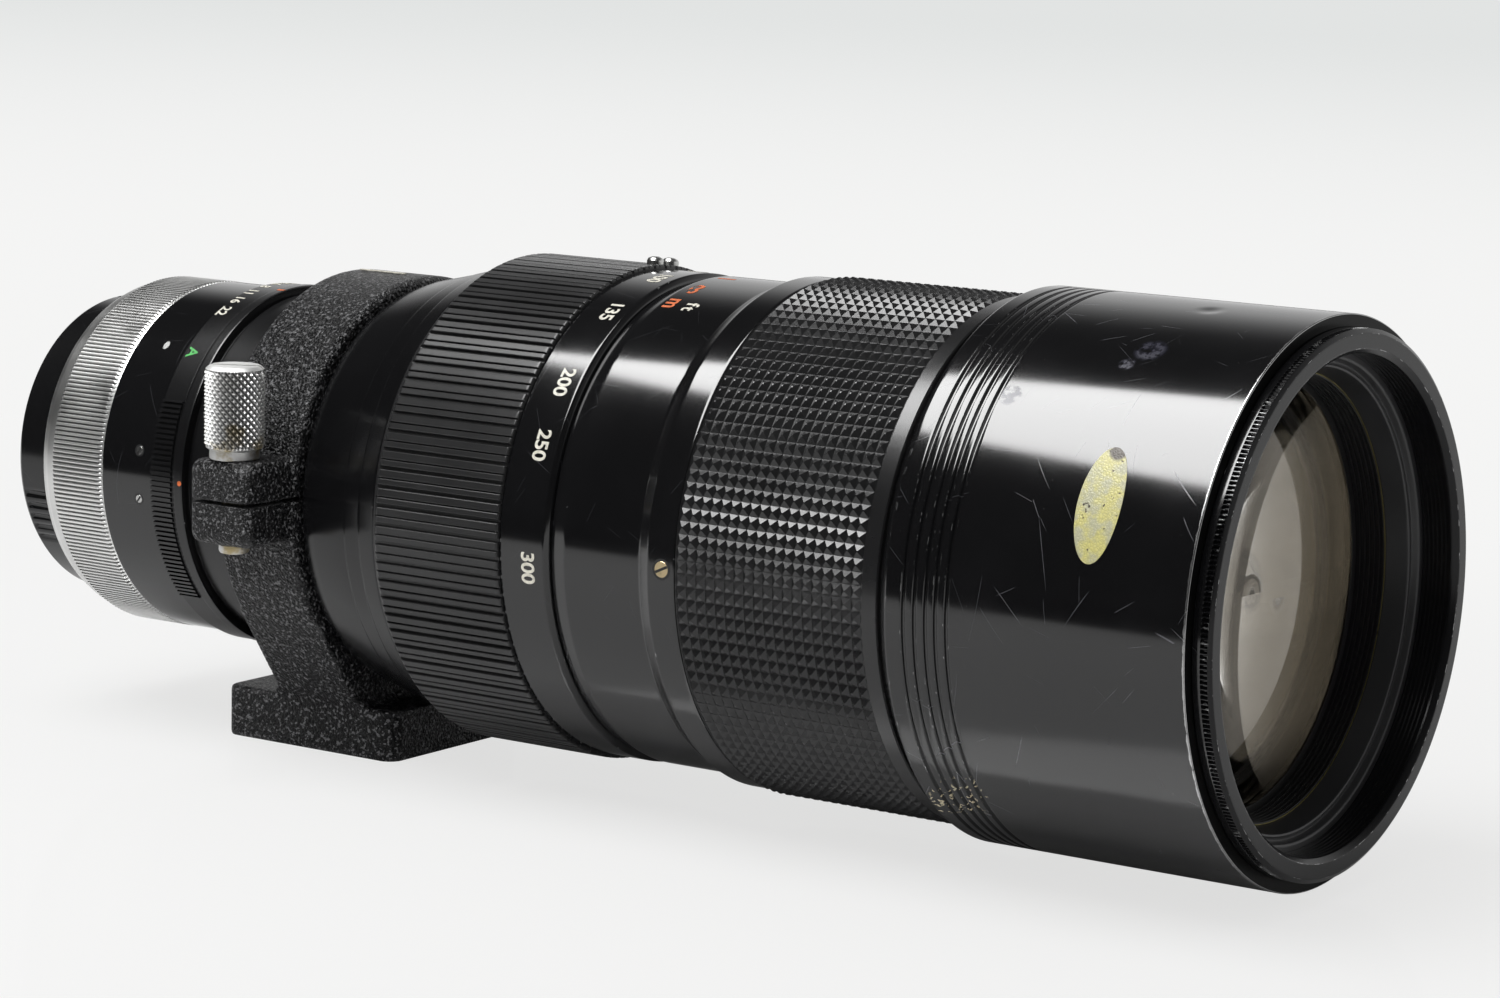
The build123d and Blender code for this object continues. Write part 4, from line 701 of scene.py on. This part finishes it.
def collar():
    """The collar's casting: the CAD solid rounded as a casting is, its exposed edges marked, and
    the slit of its clamp cut in it."""
    carrier = linked("casting_source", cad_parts["tripod_collar"].data.copy())
    remesh = carrier.modifiers.new("remesh", "REMESH")
    remesh.mode = "VOXEL"
    remesh.voxel_size = 0.00038
    dense = applied(carrier)
    model = bmesh.new()
    model.from_mesh(dense)
    for _ in range(3):
        bmesh.ops.smooth_vert(model, verts=model.verts, factor=0.5, use_axis_x=True, use_axis_y=True,
                              use_axis_z=True)
    model.to_mesh(dense)
    model.free()

    def values_of(data, name, width, kind=float):
        values = np.empty(len(data) * width, dtype=kind)
        data.foreach_get(name, values)
        return values.reshape(-1, width)
    points = values_of(dense.vertices, "co", 3)
    normals = values_of(dense.vertex_normals, "vector", 3)
    ends = values_of(dense.edges, "vertices", 2, np.int64)
    around = np.zeros(len(points))
    np.add.at(around, ends[:, 0], 1)
    np.add.at(around, ends[:, 1], 1)

    def spread(values):
        """Mean of the values of each point's neighbours."""
        total = np.zeros_like(values)
        np.add.at(total, ends[:, 0], values[ends[:, 1]])
        np.add.at(total, ends[:, 1], values[ends[:, 0]])
        return total / (around[:, None] if values.ndim > 1 else around)
    step = float(((points[ends[:, 0]] - points[ends[:, 1]]) ** 2).sum(1).mean() ** 0.5)
    bulge = ((points - spread(points)) * normals).sum(1) / step
    for _ in range(4):
        bulge = 0.5 * bulge + 0.5 * spread(bulge)
    edge = np.clip((bulge - 0.03) / 0.07, 0, 1)
    dense.attributes.new("edge", "FLOAT", "POINT").data.foreach_set("value", edge)
    dense = without_block(dense, (56.0, -46.0, slit_z), (40.0, 26.0, slit_width))
    lips = dense.attributes["edge"].data
    for vertex, lip in zip(dense.vertices, lips):
        off_lip = abs(abs(vertex.co.z - slit_z * MM) - slit_width / 2 * MM)
        if vertex.co.y < -(collar_r + 0.1) * MM and off_lip < 0.02 * MM:
            lip.value = 0.9
    finish_piece("collar_casting", dense, casting, "collar", ["tripod_collar"], 180)


collar()
stripe("collar_index", 45.6, 55.8, -0.55, 0.55, collar_r, cream_paint, "collar", 0.22)


def upright(x, y=0.0):
    """Matrix that stands a piece turned about X upright at (x, y)."""
    return Matrix.Translation((x * MM, y * MM, 0)) @ Matrix.Rotation(radians(-90), 4, "Y")


def clamp_screw():
    """Thumb screw with a diamond knurl and a coin slot."""
    cells, stations, pitch, start, top = 25, 42, 1.28, 10.3, 24.35
    columns = [(i * 360 / (cells * 4), i / 4) for i in range(cells * 4)]

    def shape(x, r, angle, value, exposed):
        if start < x < start + stations * pitch / 4 and r > 5.0:
            first, second = value + (x - start) / pitch, value - (x - start) / pitch
            height = min(1 - abs(2 * (first % 1) - 1), 1 - abs(2 * (second % 1) - 1))
            return r - 0.6 * (1 - height), height, 1 - height
        return r, exposed, 0.0
    outline = [(-8.2, 0), (-8.2, 1.9), (-8.05, 2.4), (-7.6, 2.65), (-6.7, 2.65), (-6.7, 2.15), (8.25, 2.15),
               (8.25, 4.2), (8.4, 4.3), (9.8, 4.3), (9.95, 4.5), (10.25, 4.95)]
    outline += [(start + i * pitch / 4, 5.25) for i in range(1, stations)]
    outline += [(23.75, 5.0), (24.2, 4.5), (top, 4.2), (top, 0)]
    piece = ring("thumb_screw_body", outline, "thumb_screw", knurled, ["clamp_screw"],
                 columns, 0, shape, 30)
    piece.data.transform(upright(screw_x, screw_y))
    piece.data = without_block(piece.data, (screw_x, screw_y, top), (20, 1.1, 3.4), 27, "EXACT")
    piece.data.materials.append(knurled)
    piece.data.set_sharp_from_angle(angle=radians(30))


clamp_screw()


# ---------------------------------------------------------------- zoom section

ring("flared_barrel", [(61.15, 32.5), (61.6, 34.4), (62.4, 35.4), (64.0, 36.1), (66.0, 36.75), (74.2, 38.6),
                       (74.4, 38.75), (78.3, 39.7), (78.5, 39.85), (82.4, 41.0), (82.9, 41.0), (82.9, 36.7),
                       (68.1, 36.7), (68.1, 33.0), (66.0, 33.0), (66.0, 31.1), (61.15, 31.1)],
     "barrel", flare_black, ["flare_barrel"], cut=0.15)


def zoom_grip():
    """Zoom ring with pairs of ribs of two widths, and the band that carries its numbers."""
    rib_edge = 0.08
    shares = ((0.0, rib_edge), (0.03, 0.0), (0.36, 0.0), (0.39, rib_edge), (0.402, 0.45), (0.468, 0.45),
              (0.48, rib_edge), (0.51, 0.0), (0.745, 0.0), (0.775, rib_edge), (0.79, 0.65), (0.965, 0.65))

    def shape(x, r, angle, value, exposed):
        if r > 42.0 and x > 83.6:
            return min(r, zoom_r - value), (0.6 if value == rib_edge else 0.0), value
        return r, exposed, 0.0
    outline = [(83.05, 38.45), (110.2, 38.45), (110.2, 42.4), (110.1, 42.6), (109.9, zoom_r),
               (90.0, zoom_r), (84.7, zoom_r), (84.4, 42.6), (83.9, 42.2), (83.5, 41.6), (83.05, 41.5)]
    ring("zoom_grip", outline, "zoom", grip_black, ["zoom_grip_ring"],
         pattern_columns(84, shares), 0.05, shape, 28)
    ring("zoom_number_band", [(110.25, 38.45), (120.1, 38.45), (120.1, 40.5), (119.85, 41.2),
                              (119.25, number_band_r), (110.25, number_band_r)],
         "zoom", gloss_black, ["zoom_scale_ring"], cut=0.14)
    for number, angle in ((100, 9.1), (135, 28.6), (200, 51.2), (250, 66.9), (300, 94.9), (85, -6.5)):
        marking(f"focal_length_{number}", str(number), 116.1, angle, 2.75, number_band_r, cream_paint,
                "zoom", 0.98)
    stud_outline = [(41.45, 0), (41.45, 1.0), (42.3, 1.0), (42.3, 1.45), (43.3, 1.45), (43.75, 1.2),
                    (44.0, 0.6), (44.0, 0)]
    for number, angle in enumerate((-4.2, -10.2)):
        stud = ring(f"zoom_stud_{number + 1}", stud_outline, "zoom", steel, ["zoom_studs"],
                    40, 0.1)
        stud.data.transform(Matrix.Rotation(radians(angle), 4, "X") @ upright(108.2))


zoom_grip()


# ---------------------------------------------------------------- focus section

ring("distance_ring", [(120.25, 38.95), (138.5, 38.95), (138.5, 40.45), (141.15, 40.45), (141.15, 41.05),
                       (146.4, 41.05), (146.4, focus_screw_r), (141.2, focus_screw_r), (138.4, distance_r),
                       (123.4, distance_r), (120.25, 41.0)],
     "focus", gloss_black, ["distance_scale_ring"], cut=0.16)
stripe("distance_index", 124.6, 128.0, 1.25, 2.15, distance_r, orange_paint, "focus")
marking("infinity_mark", "∞", 125.8, 13.35, 2.1, distance_r, orange_paint, "focus")
marking("metre_mark", "m", 125.2, 22.0, 2.2, distance_r, orange_paint, "focus")
marking("feet_mark", "ft", 129.6, 22.9, 2.7, distance_r, cream_paint, "focus", 1.25)
focus_screw_x = 143.9
for number, angle in enumerate((90.4, 210.4, 330.4)):
    # Painted shade: a matte black disc round each screw head stands in for the shaded hollow the screw sits
    # in.
    disc(f"focus_screw_painted_shade_{number + 1}", focus_screw_x, angle, focus_screw_r, 1.75, inner_black,
         "focus", 0.02)
    screw_head(f"focus_screw_{number + 1}", focus_screw_x, angle, focus_screw_r + 0.04, 1.4, brass, "focus",
               25, ["focus_ring_screws"], 0.45)


def focus_grip():
    """Focus ring with its grid of small square pyramids."""
    rows, first, pitch = 19, 146.85, 1.85
    columns = pattern_columns(128, ((0.0, 0.0), (0.44, 1.0), (0.56, 1.0)), 0.7)
    stations, tops = [], set()
    for row in range(rows):
        base = first + row * pitch
        stations += [base, base + 0.44 * pitch, base + 0.56 * pitch]
        tops |= {round(base + 0.44 * pitch, 4), round(base + 0.56 * pitch, 4)}
    stations.append(first + rows * pitch)

    def shape(x, r, angle, value, exposed):
        if 146.8 < x < 182.05 and r > 43.5:
            top = value == 1.0 and round(x, 4) in tops
            return (pyramid_r if top else 43.12), (0.5 if top else 0.0), 0.0
        return r, exposed, 0.0
    outline = [(141.2, 39.0), (148.4, 39.0), (148.4, 40.6), (185.85, 40.6), (185.85, 42.4), (185.1, 42.4),
               (185.1, 43.15), (184.9, 43.4), (182.3, 43.4), (182.1, 43.3)]
    outline += [(x, pyramid_r) for x in reversed(stations)]
    outline += [(146.7, 43.3), (146.45, 43.1), (146.45, 41.0), (141.2, 41.0)]
    piece = ring("focus_grip", outline, "focus", focus_black, ["focus_ring"], columns, 0,
                 shape, 20)
    split_facets(piece.data)


def split_facets(mesh):
    """Quads of the grid split through their highest corner, so each pyramid has its four ridges."""
    model = bmesh.new()
    model.from_mesh(mesh)
    radius = {vertex: hypot(vertex.co.y, vertex.co.z) for vertex in model.verts}
    for face in list(model.faces):
        corners = list(face.verts)
        heights = [radius[corner] for corner in corners]
        if len(corners) == 4 and 0.0003 < max(heights) - min(heights) < 0.0008 and min(heights) > 0.043:
            top = heights.index(max(heights))
            if sum(height > max(heights) - 1e-5 for height in heights) == 1:
                bmesh.utils.face_split(face, corners[top], corners[(top + 2) % 4])
    model.to_mesh(mesh)
    model.free()
    mesh.set_sharp_from_angle(angle=radians(20))


focus_grip()


# ---------------------------------------------------------------- front group

def front_barrel():
    """Wide front barrel with five turned grooves, a small dent, a bright bevel and a dull front face."""
    dent_x, dent_angle, dent_radius, dent_depth = 221.5, 8.3, 2.6, 0.22
    end_x = 240.5

    def shape(x, r, angle, value, exposed):
        if r > 45.4 and 205 < x < 238:
            away = hypot(x - dent_x, radians((angle - dent_angle + 180) % 360 - 180) * front_r)
            r -= dent_depth * max(0.0, 1 - (away / dent_radius) ** 2) ** 2
        return r, (turned_bright if x > 239.9 and r > 45 and exposed > 0.6 else exposed), 0.0
    outline = [(185.95, 41.0), (197.0, 41.0), (197.0, 43.2), (end_x, 43.2), (end_x, 45.36),
               (240.36, front_r)]
    outline += [(238.0 - i * 0.75, front_r) for i in range(45)]
    for middle in (199.0, 197.0, 195.2, 193.2, 191.2):
        outline += [(middle + 0.46, front_r), (middle + 0.16, 45.05), (middle - 0.16, 45.05),
                    (middle - 0.46, front_r)]
    outline += [(188.1, front_r), (187.8, 45.4), (185.95, 43.6)]
    shell = ring("front_barrel_shell", outline, "front_group", front_black, ["front_barrel"],
                 512, 0.05, shape, 30)
    second_material(shell, recess_black, lambda x, r: x > end_x - 0.05 and r < 45.3)


front_barrel()
disc("blank_sticker", 222.95, 65.5, front_r, 3.75, sticker_foil, "front_group", 0.06, 72, across=9.3)


def filter_ring():
    """Finely serrated filter ring with a flat dark face and a threaded bore."""
    def shape(x, r, angle, value, exposed):
        if r > 43.3 and 242.0 < x < 243.2:
            return r - value, turned_bright * (value == 0), value * 2
        return r, (exposed if r > 40.0 else 0.0), 0.0
    outline = [(237.6, 39.4)]
    for turn in range(6):
        start = 237.8 + turn * 0.75
        outline += [(start, 39.4), (start + 0.3, 39.46), (start + 0.45, 39.46)]
    outline += [(242.5, 39.4), (242.9, 39.5), (243.7, 40.3), (243.7, 42.7), (243.5, 43.0),
                (243.22, filter_r), (243.18, filter_r), (242.05, filter_r), (241.95, filter_r),
                (240.7, filter_r), (240.55, 43.3), (240.55, 43.12), (237.6, 43.12)]
    tooth = ((0.0, 0.0), (0.12, 0.0), (0.5, 0.65), (0.62, 0.65))
    piece = ring("filter_ring_body", outline, "filter_bezel", dark_face, ["filter_ring"],
                 pattern_columns(350, tooth), 0.05, shape, 25)
    second_material(piece, gloss_black, lambda x, r: x < 243.2 and r > 42.7)


filter_ring()

ring("bare_name_ring", [(232.5, 35.9), (236.3, 36.75), (236.45, 37.1), (236.3, 37.35), (236.3, 37.8),
                        (237.3, 38.2), (237.5, 38.5), (237.5, 43.15), (232.5, 43.15)],
     "front_group", name_black, ["name_ring"], cut=0.1)
ring("name_ring_rim", [(232.46, 35.72), (232.62, 35.72), (232.62, 35.88), (232.46, 35.88)],
     "front_group", dull_brass, cut=0.03)


def front_cell():
    """Front lens cell with ridges before its glass, as far back as the CAD model's."""
    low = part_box("front_lens_cell")[0][0] / MM
    ridges, first, length = 6, 227.2, 5.25
    outline = [(low, 34.65), (first, 34.65)]
    for ridge in range(ridges):
        x = first + ridge * length / ridges
        outline += [(x, 36.0), (x + length / ridges, 35.5)]
    outline += [(232.45, 43.15), (226.05, 43.15), (226.05, 38.9), (low, 38.9)]
    ring("front_cell_body", outline, "front_group", inner_black, ["front_lens_cell"],
         cut=0.05)


front_cell()


# ---------------------------------------------------------------- pieces that keep their CAD shape

kept = {
    "mount_flange": chrome, "bayonet_lug_ring": chrome, "lever_baffle": inner_black,
    "rear_lens_cell": inner_black, "rear_spacers": anodised, "lever_retaining_ring": steel,
    "click_detent": steel, "signal_lever": steel, "stop_down_lever": steel,
    "iris_driving_ring": blade_steel, "iris_housing": inner_black, "relay_cell": inner_black,
    "guide_tube": anodised, "cam_tube": anodised, "focus_guide_tube": anodised, "helicoid_sleeve": brass,
    "variator_carriage": inner_black, "compensator_carriage": inner_black, "variator_pins": brass,
    "compensator_pins": brass, "tripod_bush": steel}
kept.update({f"iris_blade_{number}": blade_steel for number in range(1, 9)})
kept.update({node: lens_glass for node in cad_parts
             if "singlet" in node or "doublet" in node or node.startswith("relay_lens")})
kept["front_singlet"] = inner_glass
for node, material in kept.items():
    for material_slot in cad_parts[node].material_slots:
        material_slot.link = "OBJECT"
        material_slot.material = material


# ---------------------------------------------------------------- studio and camera

def floor_material():
    """White table with a faint mirror image, which turns into a bright backdrop away from the
    lens, its glow painted dimmer further off as painted falloff of light. What the lens mirrors of the
    table is painted dark in front and far behind the mount."""
    dark = (0.02, 0.02, 0.02)
    material, tree = new_material("white_table")
    paths = add(tree, "LightPath")
    position = add(tree, "NewGeometry").outputs["Position"]
    seen = paths.outputs["Is Camera Ray"]
    where = add(tree, "SeparateXYZ", {0: position}).outputs
    # Painted reflection: outside this patch the table is painted dark for all rays but camera rays.
    mirrored = times(tree, ramp(tree, where[0], -0.60, -0.45), ramp(tree, where[1], -0.33, -0.30))
    lit = larger(tree, seen, mirrored)
    plain = add(tree, "BsdfPrincipled", {"Base Color": mix(tree, lit, dark, (0.86, 0.86, 0.86)),
                                         "Roughness": 1.0, "Specular IOR Level": 0.0})
    mirror = add(tree, "BsdfGlossy", {"Color": (1, 1, 1, 1), "Roughness": 0.06})
    near_lens = add(tree, "MixShader", {0: 0.05, 1: plain.outputs[0], 2: mirror.outputs[0]})
    away = vector_node(tree, "MULTIPLY", position, (0.6, 1, 1))
    away = vector_node(tree, "DISTANCE", away, (0.06, 0, 0), "Value")
    # Painted falloff of light: the backdrop's glow is painted dimmer further from the lens.
    tone = mix(tree, ramp(tree, away, 0.6, 2.6), (0.91, 0.91, 0.905), (0.76, 0.775, 0.77))
    glow = add(tree, "Emission", {"Color": mix(tree, lit, dark, tone)})
    share = ramp(tree, away, 0.09, 0.34, times(tree, seen, 0.78), 1.0)
    blend = add(tree, "MixShader", {0: share, 1: near_lens.outputs[0], 2: glow.outputs[0]})
    add(tree, "OutputMaterial", {0: blend.outputs[0]})
    return material


def table():
    """Table under the collar's foot."""
    half, low = 6.0, -47.16 * MM
    mesh = bpy.data.meshes.new("table")
    mesh.from_pydata([(-half, -half, low), (half, -half, low), (half, half, low), (-half, half, low)], [],
                     [(0, 1, 2, 3)])
    mesh.materials.append(floor_material())
    linked("table", mesh)


def softbox(name, power, height, glossy):
    """Lamp over the lens that only lights it, or one that only shows in what it mirrors."""
    x, y, turn, width, length = -0.0983, -0.4254, 19.45, 0.685, 0.86
    light = bpy.data.lights.new(name, "AREA")
    light.shape = "RECTANGLE"
    light.size, light.size_y = width, length
    light.energy = power
    lamp = linked(name, light)
    lamp.matrix_world = Matrix.Translation((x, y, height)) @ Matrix.Rotation(radians(turn), 4, "Z")
    lamp.visible_diffuse = not glossy
    lamp.visible_glossy = glossy
    lamp.visible_transmission = glossy


def surroundings():
    """Even light for the eye and for dull surfaces. What the lens mirrors is white low behind it
    and dark in front."""
    world = bpy.data.worlds.new("studio")
    world.use_nodes = True
    tree = world.node_tree
    tree.nodes.clear()
    direction = add(tree, "TexCoord").outputs["Generated"]
    z = add(tree, "SeparateXYZ", {0: direction}).outputs[2]
    toward = vector_node(tree, "DOT_PRODUCT", direction, (0.35, 0.94, 0), "Value")
    low_white = ramp(tree, z, 0.33, 0.72, 0.80, 0.05)
    mirrored = plus(tree, times(tree, low_white, ramp(tree, toward, 0.15, 0.45)), 0.03)
    paths = add(tree, "LightPath")
    mirror_ray = larger(tree, paths.outputs["Is Glossy Ray"], paths.outputs["Is Transmission Ray"])
    level = mix(tree, paths.outputs["Is Camera Ray"], (0.45, 0.45, 0.45), (0.80, 0.81, 0.81))
    backdrop = add(tree, "Background", {0: mix(tree, mirror_ray, level, mirrored)})
    add(tree, "OutputWorld", {0: backdrop.outputs[0]})
    bpy.context.scene.world = world
    bpy.context.scene.view_settings.view_transform = "Standard"


def camera():
    """Camera of the photo, its focal length, place and axes fitted to rings of the lens."""
    right, up = Vector((0.8225, 0.5683, 0.0233)), Vector((-0.1084, 0.1163, 0.9873))
    forward = Vector((-0.5583, 0.8146, -0.1573))
    data = bpy.data.cameras.new("camera")
    data.sensor_fit = "HORIZONTAL"
    data.sensor_width = 36.0
    data.lens = 105.6
    data.clip_start = 0.01
    data.clip_end = 50
    eye = linked("camera", data)
    turn = Matrix((right, up, -forward)).transposed().to_4x4()
    eye.matrix_world = Matrix.Translation((0.5472, -0.6069, 0.1218)) @ turn
    bpy.context.scene.camera = eye


table()
softbox("softbox_light", 9.0, 0.90, False)
softbox("softbox_glint", 24.0, 0.88, True)
surroundings()
camera()
